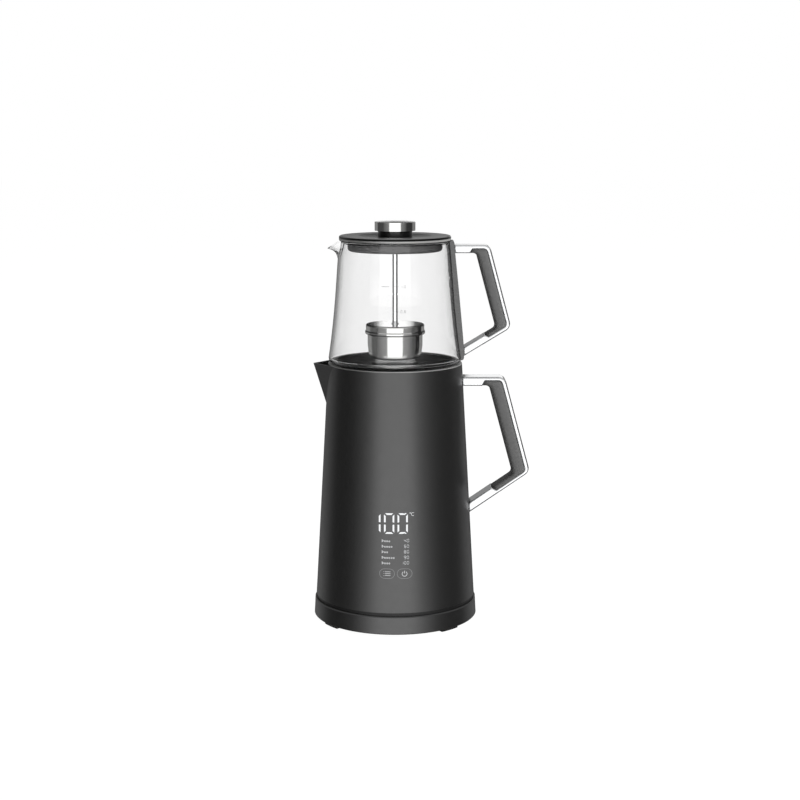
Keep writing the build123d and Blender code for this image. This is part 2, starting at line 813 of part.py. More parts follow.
with BuildPart() as display_mask:
    add(display_wedge)
    with BuildSketch(Plane.XZ.offset(display_back)):
        with Locations((digit_mid_x, digit_mid_z)):
            with GridLocations(digit_pitch, 0, digit_count, 1):
                with Locations(*bars):
                    Rectangle(digit_stroke, bar_length)
                with Locations(*rungs):
                    Rectangle(rung_length, digit_stroke)
        with Locations(unit_place):
            Rectangle(*unit_size)
        with Locations((row_mid_x, row_top_z - row_pitch * (row_count - 1) / 2)):
            with GridLocations(0, row_pitch, 1, row_count):
                Rectangle(row_width, row_height)
        with Locations((key_mid_x, key_z)):
            with GridLocations(key_pitch, 0, 2, 1):
                SlotOverall(key_length, key_height)
    extrude(amount=kettle_foot_radius, mode=Mode.SUBTRACT)

with BuildPart() as display_board:
    with BuildSketch(Plane.XZ.offset(display_back)):
        with Locations((display_mid_x, display_mid_z)):
            Rectangle(display_width - 2 * display_board_inset, display_height - 2 * display_board_inset)
    extrude(amount=-board_thick)

with BuildPart() as touch_pads:
    add(display_wedge)
    with BuildSketch(Plane.XZ.offset(display_back)):
        with Locations((key_mid_x, key_z)):
            with GridLocations(key_pitch, 0, 2, 1):
                SlotOverall(key_length - 2 * seat_gap, key_height - 2 * seat_gap)
    extrude(amount=kettle_foot_radius, mode=Mode.INTERSECT)

# ---------------------------------------------------------------- handles


def grip_outline(outline, bar_depths, depths, starts, slant):
    """Closed outline of the grip, from its upper end round its back and home along the inside."""
    inner = inset_outline(outline, depths)
    bar = inset_outline(outline, bar_depths)
    upper, lower = grip_ends(outline, inner, bar, starts, slant)
    return [upper[0], upper[1], bar[1], bar[2], lower[1], lower[0], inner[2], inner[1]]


def grip_face(grip):
    """The grip's outline as a face with its corners rounded."""
    with BuildSketch(Plane.XZ) as face:
        Polygon(*grip, align=None)
        fillet([face.vertices().sort_by_distance(point)[0] for point in grip[-2:]], grip_corner)
        fillet([face.vertices().sort_by_distance(point)[0] for point in grip[2:4]], grip_back_corner)
    return face.sketch


def handle_bar(outline, depths, recess, corner):
    """Bent bar with deep arms, recessed for its grip."""
    path = FilletPolyline(*[(x, 0, z) for x, z in outline], radius=corner)
    inner = inset_outline(outline, depths)
    arms = [Line((a[0], 0, a[1]), (b[0], 0, b[1])) for a, b in (inner[:2], inner[2:])]
    with BuildPart() as bar:
        with BuildSketch(Plane.XZ) as face:
            Polygon(*outline, *reversed(inner), align=None)
            fillet([face.vertices().sort_by_distance(point)[0] for point in outline[1:3]], corner)
        extrude(amount=handle_width / 2, both=True)
        sides = bar.edges().filter_by(lambda edge: abs(edge.center().Y) > handle_width / 2 - handle_edge)
        fillet(sides.filter_by(along_path(path)), handle_edge)
        for arm in arms:
            sides = bar.edges().filter_by(lambda edge: abs(edge.center().Y) > handle_width / 2 - handle_edge / 2)
            fillet(sides.filter_by(along_path(arm)), handle_inner_edge)
        extrude(recess, amount=handle_width, both=True, mode=Mode.SUBTRACT)
    return bar.part


def handle_grip(grip, recess, finger_round):
    """Soft grip that fills the inside of the bar, rounded where the fingers close."""
    inside = [(x, 0, z) for x, z in (grip[0], grip[-1], grip[-2], grip[-3])]
    path = FilletPolyline(*inside, radius=grip_corner)
    half = handle_width / 2 - handle_side_gap
    with BuildPart() as body:
        extrude(recess, amount=half, both=True)
        sides = body.edges().filter_by(lambda edge: abs(edge.center().Y) > half - fit_gap)
        fillet(sides.filter_by(along_path(path)), finger_round)
    return body.part


def screw_along_x(seat_x, height):
    """Pan-head screw pointing to +X with its head behind seat_x."""
    with BuildPart() as screw:
        with BuildSketch(Plane.YZ.offset(seat_x)):
            with Locations((0, height)):
                Circle(handle_screw_head)
        extrude(amount=-handle_screw_head_thick)
        with BuildSketch(Plane.YZ.offset(seat_x)):
            with Locations((0, height)):
                Circle(handle_screw_radius)
        extrude(amount=handle_screw_length)
    return screw.part


kettle_outline = handle_outline(kettle_handle_top, kettle_handle_low, kettle_handle_root, tank_radius)
kettle_grip = grip_outline(
    kettle_outline, kettle_bar, kettle_handle_depth, kettle_grip_starts, kettle_grip_slant
)
kettle_recess = grip_face(kettle_grip)
kettle_bar_blank = handle_bar(kettle_outline, kettle_handle_depth, kettle_recess, kettle_handle_corner)
kettle_grip_blank = handle_grip(kettle_grip, kettle_recess, kettle_grip_round)
kettle_screw_seats = [shell_radius(height) - shell_wall - seat_gap for height in kettle_screw_heights]
kettle_screws = [
    screw_along_x(seat, height) for seat, height in zip(kettle_screw_seats, kettle_screw_heights)
]

with BuildPart() as kettle_handle_bar:
    add(kettle_bar_blank)
    with BuildSketch(Plane.XZ):
        Polygon(
            (0, shell_z),
            (kettle_foot_radius + fit_gap, shell_z),
            (kettle_rim_radius + fit_gap, rim_z),
            (0, rim_z),
            align=None,
        )
    revolve(axis=Axis.Z, mode=Mode.SUBTRACT)
    with BuildSketch(Plane.YZ):
        with Locations(*((0, z) for z in kettle_screw_heights)):
            Circle(handle_screw_radius + fit_gap)
    extrude(amount=kettle_screw_seats[1] + handle_screw_length, mode=Mode.SUBTRACT)

with BuildPart() as kettle_handle_grip:
    add(kettle_grip_blank)

with BuildPart() as kettle_handle_screws:
    add(kettle_screws)

# ---------------------------------------------------------------- teapot glass


def glass_body(inset, low_z):
    """Solid bounded by the teapot's outer wall moved in by inset, standing at low_z."""
    wall = [(radius - inset, glass_z + height) for radius, height in glass_wall_points]
    foot = (glass_foot_radius - inset, low_z)
    heel = (glass_heel[0] - heel_inset[0] * inset, glass_z + glass_heel[1] + heel_inset[1] * inset)
    with BuildPart() as body:
        with BuildSketch(Plane.XZ):
            with BuildLine():
                Line((0, low_z), foot)
                ThreePointArc(foot, heel, wall[0])
                Spline(*wall)
                Polyline(wall[-1], (0, wall[-1][1]), (0, low_z))
            make_face()
        revolve(axis=Axis.Z)
    return body.part


def lip_body(inset):
    """Flared body whose front swells out of the glass into the pouring lip."""
    low_z = glass_rim_z - lip_drop
    low_reach = glass_wall_points[-2][0] - lip_centre - inset
    with BuildPart() as body:
        with BuildSketch(Plane.XY.offset(low_z)):
            with Locations((-lip_centre, 0)):
                Circle(low_reach)
        for height, reach, half_width in lip_flare:
            with BuildSketch(Plane.XY.offset(low_z + height)):
                with Locations((-lip_centre, 0)):
                    Ellipse(low_reach + reach, half_width - inset)
        loft()
    return body.part


def glass_radius(z):
    """Outer radius of the glass wall, straight between the two nearest wall points."""
    for (low_r, low_h), (high_r, high_h) in zip(glass_wall_points, glass_wall_points[1:]):
        if z <= glass_z + high_h:
            return low_r + (high_r - low_r) * (z - glass_z - low_h) / (high_h - low_h)
    return glass_wall_points[-1][0]


glass_outside = glass_body(0, glass_z)
glass_inside = glass_body(glass_wall, glass_z + glass_floor)
lip_outside = lip_body(0)
lip_inside = lip_body(glass_wall)
glass_cutter = glass_body(-glass_gap, glass_z)
glass_inner_rim = glass_wall_points[-1][0] - glass_wall
lip_root = glass_wall_points[-1][0] - glass_wall / 2
lip_fall = 2 * lip_reach * tan(radians(lip_slope))

with BuildPart() as teapot_glass:
    add(glass_outside)
    fillet(teapot_glass.edges().group_by(Axis.Z)[-1], glass_rim_round)
    add(lip_outside)
    add(glass_inside, mode=Mode.SUBTRACT)
    add(lip_inside, mode=Mode.SUBTRACT)
    with BuildSketch(Plane.XZ):
        Polygon(
            (-lip_root, glass_rim_z),
            (-lip_root - 2 * lip_reach, glass_rim_z - lip_fall),
            (-lip_root - 2 * lip_reach, glass_rim_z + lip_fall),
            (-lip_root, glass_rim_z + lip_fall),
            align=None,
        )
    extrude(amount=lip_centre, both=True, mode=Mode.SUBTRACT)
    with BuildSketch(Plane.XY.offset(glass_z)):
        Circle(glass_foot_radius - glass_foot_width)
    extrude(amount=glass_foot_rise, taper=glass_foot_draft, mode=Mode.SUBTRACT)

# ---------------------------------------------------------------- teapot handle
strap_low_z = glass_z + strap_low
strap_high_z = glass_rim_z + glass_gap
strap_face = [(x, glass_z + height) for x, height in strap_points]
strap_back = glass_wall_points[-1][0] - strap_width / 2
teapot_screw_seats = [
    glass_radius(height - handle_screw_head) + handle_screw_head_thick + 2 * glass_gap
    for height in teapot_screw_heights
]

with BuildPart() as teapot_strap:
    with BuildSketch(Plane.XZ) as strap_profile:
        with BuildLine():
            Line((strap_back, strap_low_z), (strap_face[0][0], strap_low_z))
            Line((strap_face[0][0], strap_low_z), strap_face[0])
            Spline(*strap_face)
            Polyline(strap_face[-1], (strap_face[-1][0], strap_high_z), (strap_back, strap_high_z))
            Line((strap_back, strap_high_z), (strap_back, strap_low_z))
        make_face()
        low_corner = (strap_face[0][0], strap_low_z)
        high_corner = (strap_face[-1][0], strap_high_z)
        fillet(strap_profile.vertices().sort_by_distance(low_corner)[0], strap_round)
        fillet(strap_profile.vertices().sort_by_distance(high_corner)[0], strap_round / 2)
    extrude(amount=strap_width / 2, both=True)
    add(glass_cutter, mode=Mode.SUBTRACT)
    with BuildSketch(Plane.XY.offset(glass_rim_z)):
        Circle(glass_wall_points[-1][0] + glass_gap)
    extrude(amount=2 * glass_gap, mode=Mode.SUBTRACT)
    for seat, height in zip(teapot_screw_seats, teapot_screw_heights):
        with BuildSketch(Plane.YZ.offset(seat)):
            with Locations((0, height)):
                Circle(handle_screw_head + fit_gap)
        extrude(amount=-strap_width, mode=Mode.SUBTRACT)
        with BuildSketch(Plane.YZ):
            with Locations((0, height)):
                Circle(handle_screw_radius + fit_gap)
        extrude(amount=seat + handle_screw_length, mode=Mode.SUBTRACT)

teapot_outline = handle_outline(teapot_handle_top, teapot_handle_low, teapot_handle_root, glass_inner_rim)
teapot_grip = grip_outline(
    teapot_outline, teapot_bar, teapot_handle_depth, teapot_grip_starts, teapot_grip_slant
)
teapot_recess = grip_face(teapot_grip)
teapot_bar_blank = handle_bar(teapot_outline, teapot_handle_depth, teapot_recess, teapot_handle_corner)
teapot_grip_blank = handle_grip(teapot_grip, teapot_recess, teapot_grip_round)
teapot_screws = [
    screw_along_x(seat, height) for seat, height in zip(teapot_screw_seats, teapot_screw_heights)
]

with BuildPart() as teapot_handle_bar:
    add(teapot_bar_blank)
    with BuildSketch(Plane.XZ):
        with BuildLine():
            Polyline(strap_face[0], (strap_face[0][0], rim_z / 2), (0, rim_z / 2), (0, cap_top_z))
            Polyline((0, cap_top_z), (strap_face[-1][0], cap_top_z), strap_face[-1])
            Spline(*strap_face)
        make_face()
    extrude(amount=handle_width, both=True, mode=Mode.SUBTRACT)
    with BuildSketch(Plane.YZ):
        with Locations(*((0, z) for z in teapot_screw_heights)):
            Circle(handle_screw_radius + fit_gap)
    extrude(amount=max(teapot_screw_seats) + handle_screw_length, mode=Mode.SUBTRACT)

with BuildPart() as teapot_handle_grip:
    add(teapot_grip_blank)

with BuildPart() as teapot_handle_screws:
    add(teapot_screws)

clip_back = sqrt(glass_inner_rim**2 - (clip_width / 2) ** 2) - glass_gap

with BuildPart() as handle_clip:
    with BuildSketch(Plane.XZ):
        Polygon(
            (clip_back - clip_thick, glass_rim_z - clip_drop),
            (clip_back, glass_rim_z - clip_drop),
            (clip_back, strap_high_z),
            (strap_face[-1][0] - strap_round, strap_high_z),
            (strap_face[-1][0] - strap_round, strap_high_z + clip_thick),
            (clip_back - clip_thick, strap_high_z + clip_thick),
            align=None,
        )
    extrude(amount=clip_width / 2, both=True)

with BuildPart() as clip_rivet:
    with BuildSketch(Plane.YZ.offset(clip_back - clip_thick)):
        with Locations((0, glass_rim_z - clip_drop / 2)):
            Circle(rivet_radius)
    extrude(amount=-rivet_thick)
    fillet(clip_rivet.edges().sort_by(Axis.X)[0], rivet_thick / 2)

# ---------------------------------------------------------------- teapot lid
trim_z = glass_rim_z + trim_low
trim_inner = trim_radius - trim_width
seal_z = glass_rim_z + lid_seal_low
sleeve_z = glass_rim_z - lid_seal_depth
plug_z = glass_rim_z - plug_depth
rod_hole = rod_radius + lift_gap

with BuildPart() as lid_plate:
    with BuildSketch(Plane.XZ) as lid_profile:
        Polygon(
            (rod_hole, plate_bottom_z),
            (lid_radius, plate_bottom_z),
            (lid_radius, plate_bottom_z + lid_rim_height),
            (lid_radius - lid_rim_width, plate_bottom_z + lid_rim_height),
            (dish_radius, plate_bottom_z + lid_rim_height - lid_fall),
            (neck_radius + lid_flat, knob_z),
            (rod_hole, knob_z),
            align=None,
        )
        rim_point = (lid_radius, plate_bottom_z + lid_rim_height)
        fillet(lid_profile.vertices().sort_by_distance(rim_point)[0], 0.7 * lid_rim_height)
    revolve(axis=Axis.Z)

with BuildPart() as lid_trim:
    with BuildSketch(Plane.XY.offset(trim_z)):
        Circle(trim_radius)
        Circle(trim_inner, mode=Mode.SUBTRACT)
    extrude(amount=trim_thick)
    outer_edges = lid_trim.faces().filter_by(GeomType.CYLINDER).sort_by(SortBy.AREA)[-1].edges()
    fillet(outer_edges.filter_by(GeomType.CIRCLE), trim_thick / 4)

with BuildPart() as lid_plug:
    with BuildSketch(Plane.XZ) as plug_profile:
        Polygon(
            (0, plug_z),
            (plug_radius, plug_z),
            (plug_radius, trim_z),
            (trim_inner - seat_gap, trim_z),
            (trim_inner - seat_gap, plate_bottom_z),
            (0, plate_bottom_z),
            align=None,
        )
        fillet(plug_profile.vertices().sort_by_distance((plug_radius, plug_z))[0], plug_corner)
    revolve(axis=Axis.Z)
    with BuildSketch(Plane.XY.offset(plug_z + plug_wall)):
        Circle(plug_radius - plug_wall)
        Circle(guide_radius + plug_wall, mode=Mode.SUBTRACT)
    extrude(amount=plate_bottom_z - plug_z - plug_wall, mode=Mode.SUBTRACT)
    with Locations((0, 0, plate_bottom_z)):
        CounterBoreHole(rod_hole, guide_radius, guide_length, depth=plate_bottom_z - plug_z)

with BuildPart() as lid_seal:
    with BuildSketch(Plane.XY.offset(sleeve_z)):
        Circle(lid_seal_sleeve)
    extrude(amount=trim_z - sleeve_z)
    with BuildSketch(Plane.XY.offset(seal_z)):
        Circle(lid_seal_radius)
    extrude(amount=trim_z - seal_z)
    with BuildSketch(Plane.XY.offset(sleeve_z)):
        Circle(plug_radius + seat_gap)
        with Locations((glass_inner_rim, 0)):
            Rectangle(3 * glass_wall, clip_width + 2 * lift_gap)
    extrude(amount=trim_z - sleeve_z, mode=Mode.SUBTRACT)

with BuildPart() as rod_guide:
    with BuildSketch(Plane.XY.offset(plate_bottom_z)):
        Circle(guide_radius - fit_gap)
        Circle(rod_radius + run_gap, mode=Mode.SUBTRACT)
    extrude(amount=-guide_length)

# ---------------------------------------------------------------- knob, rod and infuser
nut_z = cap_top_z - cap_crown - cap_wall - seat_gap - nut_thick
rod_top_z = nut_z + nut_thick
cover_top_z = cup_z + infuser_cover_height + cup_height
skirt_z = cover_top_z - infuser_cover_height
tab_z = skirt_z + infuser_bead_height / 2
lug_z = tab_z + tab_thick + twist_gap

with BuildPart() as knob_insert:
    with BuildSketch(Plane.XZ):
        Polygon(
            (rod_radius + fit_gap, knob_z),
            (neck_radius, knob_z),
            (neck_radius, cap_z),
            (cap_radius - cap_wall - seat_gap, cap_z),
            (cap_radius - cap_wall - seat_gap, nut_z),
            (rod_radius + fit_gap, nut_z),
            align=None,
        )
    revolve(axis=Axis.Z)

with BuildPart() as knob_cap:
    with BuildSketch(Plane.XZ) as cap_profile:
        with BuildLine():
            Line((0, cap_top_z - cap_wall), (0, cap_top_z))
            ThreePointArc(
                (0, cap_top_z),
                (cap_radius / 2, cap_top_z - cap_crown / 4),
                (cap_radius, cap_top_z - cap_crown),
            )
            Polyline(
                (cap_radius, cap_top_z - cap_crown),
                (cap_radius, cap_z),
                (cap_radius - cap_wall, cap_z),
                (cap_radius - cap_wall, cap_top_z - cap_crown - cap_wall),
                (0, cap_top_z - cap_wall),
            )
        make_face()
        cap_corner = (cap_radius, cap_top_z - cap_crown)
        fillet(cap_profile.vertices().sort_by_distance(cap_corner)[0], cap_wall / 2)
    revolve(axis=Axis.Z)

with BuildPart() as rod_nut:
    with BuildSketch(Plane.XY.offset(nut_z)):
        RegularPolygon(nut_flats / 2, 6, major_radius=False)
        Circle(rod_radius + fit_gap, mode=Mode.SUBTRACT)
    extrude(amount=nut_thick)

with BuildPart() as infuser_rod:
    with BuildSketch(Plane.XY.offset(cover_top_z - steel_gauge - nut_thick)):
        Circle(rod_radius)
    extrude(amount=rod_top_z - cover_top_z + steel_gauge + nut_thick)
    with BuildSketch(Plane.XY.offset(cover_top_z)):
        Circle(rod_radius + steel_gauge)
    extrude(amount=steel_gauge)
    with BuildSketch(Plane.XY.offset(glass_rim_z - groove_drop)):
        Circle(2 * rod_radius)
        Circle(rod_radius - groove_depth, mode=Mode.SUBTRACT)
    extrude(amount=groove_width, mode=Mode.SUBTRACT)

with BuildPart() as infuser_nut:
    with BuildSketch(Plane.XY.offset(cover_top_z - steel_gauge - nut_thick)):
        RegularPolygon(nut_flats / 2, 6, major_radius=False)
        Circle(rod_radius + fit_gap, mode=Mode.SUBTRACT)
    extrude(amount=nut_thick)

with BuildPart() as infuser_cover:
    skirt_inner = infuser_radius - steel_gauge
    with BuildSketch(Plane.XZ) as cover_profile:
        Polygon(
            (rod_radius + fit_gap, cover_top_z),
            (infuser_radius, cover_top_z),
            (infuser_radius, skirt_z + infuser_bead_height),
            (infuser_radius + infuser_bead, skirt_z + infuser_bead_height - infuser_bead_slope),
            (infuser_radius + infuser_bead, skirt_z + infuser_bead_slope),
            (infuser_radius, skirt_z),
            (skirt_inner, skirt_z),
            (skirt_inner, cover_top_z - steel_gauge),
            (rod_radius + fit_gap, cover_top_z - steel_gauge),
            align=None,
        )
        fillet(cover_profile.vertices().sort_by_distance((infuser_radius, cover_top_z))[0], 2 * steel_gauge)
        inner_corner = (skirt_inner, cover_top_z - steel_gauge)
        fillet(cover_profile.vertices().sort_by_distance(inner_corner)[0], steel_gauge)
    revolve(axis=Axis.Z)
    for place in range(tab_count):
        start = place * 360 / tab_count - tab_sweep / 2
        with BuildSketch(Plane.XZ.rotated((0, 0, start))):
            with Locations((skirt_inner - tab_depth, tab_z)):
                Rectangle(tab_depth + steel_gauge / 2, tab_thick, align=Align.MIN)
        revolve(axis=Axis.Z, revolution_arc=tab_sweep)

with BuildPart() as infuser_cup:
    cup_top_z = lug_z + cup_neck_rise
    with BuildSketch(Plane.XZ) as cup_profile:
        Polygon(
            (0, cup_z),
            (cup_low_radius, cup_z),
            (cup_radius, cup_z + cup_taper_height),
            (cup_radius, skirt_z - lift_gap),
            (cup_neck_radius, skirt_z),
            (cup_neck_radius, cup_top_z),
            (0, cup_top_z),
            align=None,
        )
        fillet(cup_profile.vertices().sort_by_distance((cup_low_radius, cup_z))[0], cup_corner)
    revolve(axis=Axis.Z)
    offset(amount=-steel_gauge, openings=infuser_cup.faces().sort_by(Axis.Z)[-1])
    for place in range(tab_count):
        start = place * 360 / tab_count - lug_sweep / 2
        with BuildSketch(Plane.XZ.rotated((0, 0, start))):
            with Locations((cup_neck_radius - steel_gauge / 2, lug_z)):
                Rectangle(tab_depth + steel_gauge / 2, tab_thick, align=Align.MIN)
        revolve(axis=Axis.Z, revolution_arc=lug_sweep)
    with BuildSketch(Plane.XY.offset(cup_z)):
        Circle(cup_hole_radius)
        for count, radius in zip(cup_ring_counts, cup_ring_radii):
            with PolarLocations(radius, count):
                Circle(cup_hole_radius)
    extrude(amount=steel_gauge, mode=Mode.SUBTRACT)

pieces = {
    "base_shell": base_shell,
    "base_plate": base_plate,
    "base_feet": base_feet,
    "base_screws": base_screws,
    "base_connector": base_connector,
    "base_contacts": base_contacts,
    "cord_gland": cord_gland,
    "kettle_bottom_cover": kettle_bottom_cover,
    "kettle_cover_screws": kettle_cover_screws,
    "kettle_coupler": kettle_coupler,
    "coupler_contacts": coupler_contacts,
    "kettle_shell": kettle_shell,
    "kettle_tank": kettle_tank,
    "tank_seal": tank_seal,
    "kettle_collar": kettle_collar,
    "heater_plate": heater_plate,
    "heating_element": heating_element,
    "thermal_cutout": thermal_cutout,
    "temperature_sensor": temperature_sensor,
    "sensor_grommet": sensor_grommet,
    "power_board": power_board,
    "relay": relay,
    "display_mask": display_mask,
    "display_board": display_board,
    "touch_pads": touch_pads,
    "kettle_handle_bar": kettle_handle_bar,
    "kettle_handle_grip": kettle_handle_grip,
    "kettle_handle_screws": kettle_handle_screws,
    "teapot_glass": teapot_glass,
    "teapot_strap": teapot_strap,
    "teapot_handle_bar": teapot_handle_bar,
    "teapot_handle_grip": teapot_handle_grip,
    "teapot_handle_screws": teapot_handle_screws,
    "handle_clip": handle_clip,
    "clip_rivet": clip_rivet,
    "lid_plate": lid_plate,
    "lid_trim": lid_trim,
    "lid_plug": lid_plug,
    "lid_seal": lid_seal,
    "rod_guide": rod_guide,
    "knob_insert": knob_insert,
    "knob_cap": knob_cap,
    "rod_nut": rod_nut,
    "infuser_rod": infuser_rod,
    "infuser_nut": infuser_nut,
    "infuser_cover": infuser_cover,
    "infuser_cup": infuser_cup,
}

os.makedirs("parts", exist_ok=True)
for name, piece in pieces.items():
    piece.part.label = name
    export_step(piece.part, f"parts/{name}.step")
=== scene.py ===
import json
import math

import bmesh
import bpy
from mathutils import Matrix, Vector


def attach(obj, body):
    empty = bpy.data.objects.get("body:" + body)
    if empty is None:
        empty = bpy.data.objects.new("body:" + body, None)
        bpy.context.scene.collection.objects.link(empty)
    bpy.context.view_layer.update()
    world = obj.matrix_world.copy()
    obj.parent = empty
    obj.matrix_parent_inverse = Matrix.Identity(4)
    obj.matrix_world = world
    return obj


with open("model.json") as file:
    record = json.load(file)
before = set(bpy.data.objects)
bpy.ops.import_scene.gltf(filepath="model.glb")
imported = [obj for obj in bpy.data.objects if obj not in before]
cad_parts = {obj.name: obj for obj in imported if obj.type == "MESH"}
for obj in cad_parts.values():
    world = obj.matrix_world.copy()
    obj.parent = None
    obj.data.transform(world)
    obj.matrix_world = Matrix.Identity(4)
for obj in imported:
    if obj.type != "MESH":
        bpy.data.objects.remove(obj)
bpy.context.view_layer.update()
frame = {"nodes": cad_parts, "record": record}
nodes = frame["nodes"]
scene = bpy.context.scene
mm = 0.001
print("frame loaded:", len(nodes), "nodes")


# sRGB hex to the linear colour that a shader socket takes
def hexColor(code):
    values = [int(code[i:i + 2], 16) / 255 for i in (1, 3, 5)]
    return [v / 12.92 if v <= 0.04045 else ((v + 0.055) / 1.055) ** 2.4 for v in values] + [1.0]


def grey(value):
    return (value, value, value, 1)


# One node with its settings and links: an input is a value or another node's output, stops are a ramp's greys
def addNode(tree, kind, settings=None, inputs=None):
    node = tree.nodes.new("ShaderNode" + kind)
    for key, value in (settings or {}).items():
        if key == "stops":
            fillRamp(node.color_ramp, value)
        else:
            setattr(node, key, value)
    for key, value in (inputs or {}).items():
        if isinstance(value, bpy.types.NodeSocket):
            tree.links.new(value, node.inputs[key])
        else:
            node.inputs[key].default_value = value
    return node


def fillRamp(ramp, stops):
    while len(ramp.elements) < len(stops):
        ramp.elements.new(0.5)
    for element, (place, shade) in zip(ramp.elements, stops):
        element.position = place
        element.color = grey(shade)


colorMix = {"data_type": "RGBA"}


# A material with its shader's own values; a hex string is a colour
def newMaterial(name, values):
    material = bpy.data.materials.new(name)
    material.use_nodes = True
    shader = material.node_tree.nodes["Principled BSDF"]
    for key, value in values.items():
        shader.inputs[key].default_value = hexColor(value) if isinstance(value, str) else value
    return material


# Noise on Object coordinates; size is one lump's width in millimetres
def grain(tree, size, detail, stretch):
    place = addNode(tree, "TexCoord").outputs["Object"]
    mapped = addNode(tree, "Mapping", None, {"Vector": place, "Scale": stretch}).outputs["Vector"]
    noise = addNode(tree, "TexNoise", None, {"Vector": mapped, "Scale": 1 / (size * mm), "Detail": detail})
    return noise.outputs["Fac"]


# The roughness wanders between two values
def roughen(material, size, low, high, detail=3.0, stretch=(1, 1, 1)):
    tree = material.node_tree
    spread = addNode(tree, "MapRange", None, {
        "Value": grain(tree, size, detail, stretch), "From Min": 0.3, "From Max": 0.7,
        "To Min": low, "To Max": high})
    tree.links.new(spread.outputs["Result"], tree.nodes["Principled BSDF"].inputs["Roughness"])


# The skin rises and falls by a height in millimetres
def stipple(material, size, height, detail=3.0, stretch=(1, 1, 1)):
    tree = material.node_tree
    skin = grain(tree, size, detail, stretch)
    bump = addNode(tree, "Bump", None, {"Height": skin, "Distance": height * mm})
    tree.links.new(bump.outputs["Normal"], tree.nodes["Principled BSDF"].inputs["Normal"])


# Graphite paint with metal flake, sprayed on moulded ABS: the flake gives one broad soft sheen
def satinLacquer():
    material = newMaterial("satinLacquer", {"Base Color": "#5a5a5a", "Metallic": 0.92, "Roughness": 0.36})
    roughen(material, 6.0, 0.34, 0.38)
    stipple(material, 0.9, 0.006)  # coarser than the flake, which is too fine to show
    return material


# The lid's sprayed lacquer with painted light and shade: painted light on the flat ring, painted shade in the
# dish, and glossy near-black painted shade round the edge and on every face that tilts away from straight up
def lidLacquerAndPaintedLight():
    size = {"dish": 33, "ring": 36, "upright": 0.7}
    material = newMaterial("lidLacquerAndPaintedLight", {"Metallic": 0.9, "Roughness": 0.3})
    tree = material.node_tree
    place = addNode(tree, "TexCoord").outputs["Object"]
    flat = addNode(tree, "VectorMath", {"operation": "MULTIPLY"}, {0: place, 1: (1, 1, 0)}).outputs[0]
    radius = addNode(tree, "VectorMath", {"operation": "LENGTH"}, {0: flat}).outputs["Value"]
    # painted light on the flat ring and painted shade in the dish, set by the distance from the axis
    ring = addNode(tree, "MapRange", None, {
        "Value": radius, "From Min": size["dish"] * mm, "From Max": size["ring"] * mm}).outputs[0]
    top = addNode(tree, "Mix", colorMix, {
        "Factor": ring, "A": hexColor("#3c3c3c"), "B": hexColor("#989898")}).outputs["Result"]
    # painted shade, near black, on every face that tilts away from straight up, such as the edge
    normal = addNode(tree, "NewGeometry").outputs["Normal"]
    facing = addNode(tree, "SeparateXYZ", None, {"Vector": normal}).outputs["Z"]
    upward = addNode(tree, "Math", {"operation": "GREATER_THAN"}, {0: facing, 1: size["upright"]}).outputs[0]
    paintedLightAndShade = addNode(tree, "Mix", colorMix, {"Factor": upward, "A": hexColor("#181818"), "B": top})
    tree.links.new(paintedLightAndShade.outputs["Result"], tree.nodes["Principled BSDF"].inputs["Base Color"])
    return material


# Black ABS from a spark-eroded mould: matt, with a faint pebble
def blackAbs():
    material = newMaterial("blackAbs", {"Base Color": "#141414", "Roughness": 0.5, "IOR": 1.5})
    stipple(material, 0.5, 0.02)
    return material


# Black ABS from a polished mould: small bright lights on the knob's neck
def glossAbs():
    material = newMaterial("glossAbs", {"Base Color": "#0c0c0c", "Roughness": 0.16, "IOR": 1.5})
    roughen(material, 3.0, 0.12, 0.2)
    return material


# Grey ABS from a fine-blasted mould: a satin skin on the lid's plug
def satinGreyAbs():
    material = newMaterial("satinGreyAbs", {"Base Color": "#6c6c6c", "Roughness": 0.42, "IOR": 1.5})
    stipple(material, 0.6, 0.012)
    return material


# Moulded rubber: dull and slightly dusty
def mouldedRubber():
    material = newMaterial("mouldedRubber", {"Base Color": "#191919", "Roughness": 0.8, "IOR": 1.5})
    stipple(material, 0.7, 0.03)
    return material


# Moulded clear silicone: milky, as light scatters a little way in
def clearSilicone():
    material = newMaterial("clearSilicone", {
        "Base Color": "#b9bab6", "Roughness": 0.45, "IOR": 1.41,
        "Subsurface Weight": 0.3, "Subsurface Scale": 1.5 * mm})
    stipple(material, 1.0, 0.01)
    return material


# Moulded black silicone: a low sheen on the lid's sleeve
def darkSilicone():
    material = newMaterial("darkSilicone", {"Base Color": "#262626", "Roughness": 0.4, "IOR": 1.41})
    stipple(material, 1.0, 0.01)
    return material


# Chromium plate on polished metal: a mirror with faint waves
def chromePlate():
    material = newMaterial("chromePlate", {"Base Color": "#eeeff0", "Metallic": 1.0, "Roughness": 0.07})
    roughen(material, 8.0, 0.05, 0.1)
    return material


# The same plate on the handle bars, whose softly polished edges show as dark lines
def edgedChrome():
    material = chromePlate()
    material.name = "edgedChrome"
    tree = material.node_tree
    rounded = addNode(tree, "Bevel", {"samples": 8}, {"Radius": 3.2 * mm}).outputs["Normal"]
    tree.links.new(rounded, tree.nodes["Principled BSDF"].inputs["Normal"])
    return material


# Pressed stainless steel, buffed bright: fine lines round the axis
def buffedSteel():
    material = newMaterial("buffedSteel", {"Base Color": "#d9d9d7", "Metallic": 1.0, "Roughness": 0.12})
    roughen(material, 1.2, 0.08, 0.16, 4.0, (1, 1, 12))
    stipple(material, 0.6, 0.004, 2.0, (1, 1, 10))
    return material


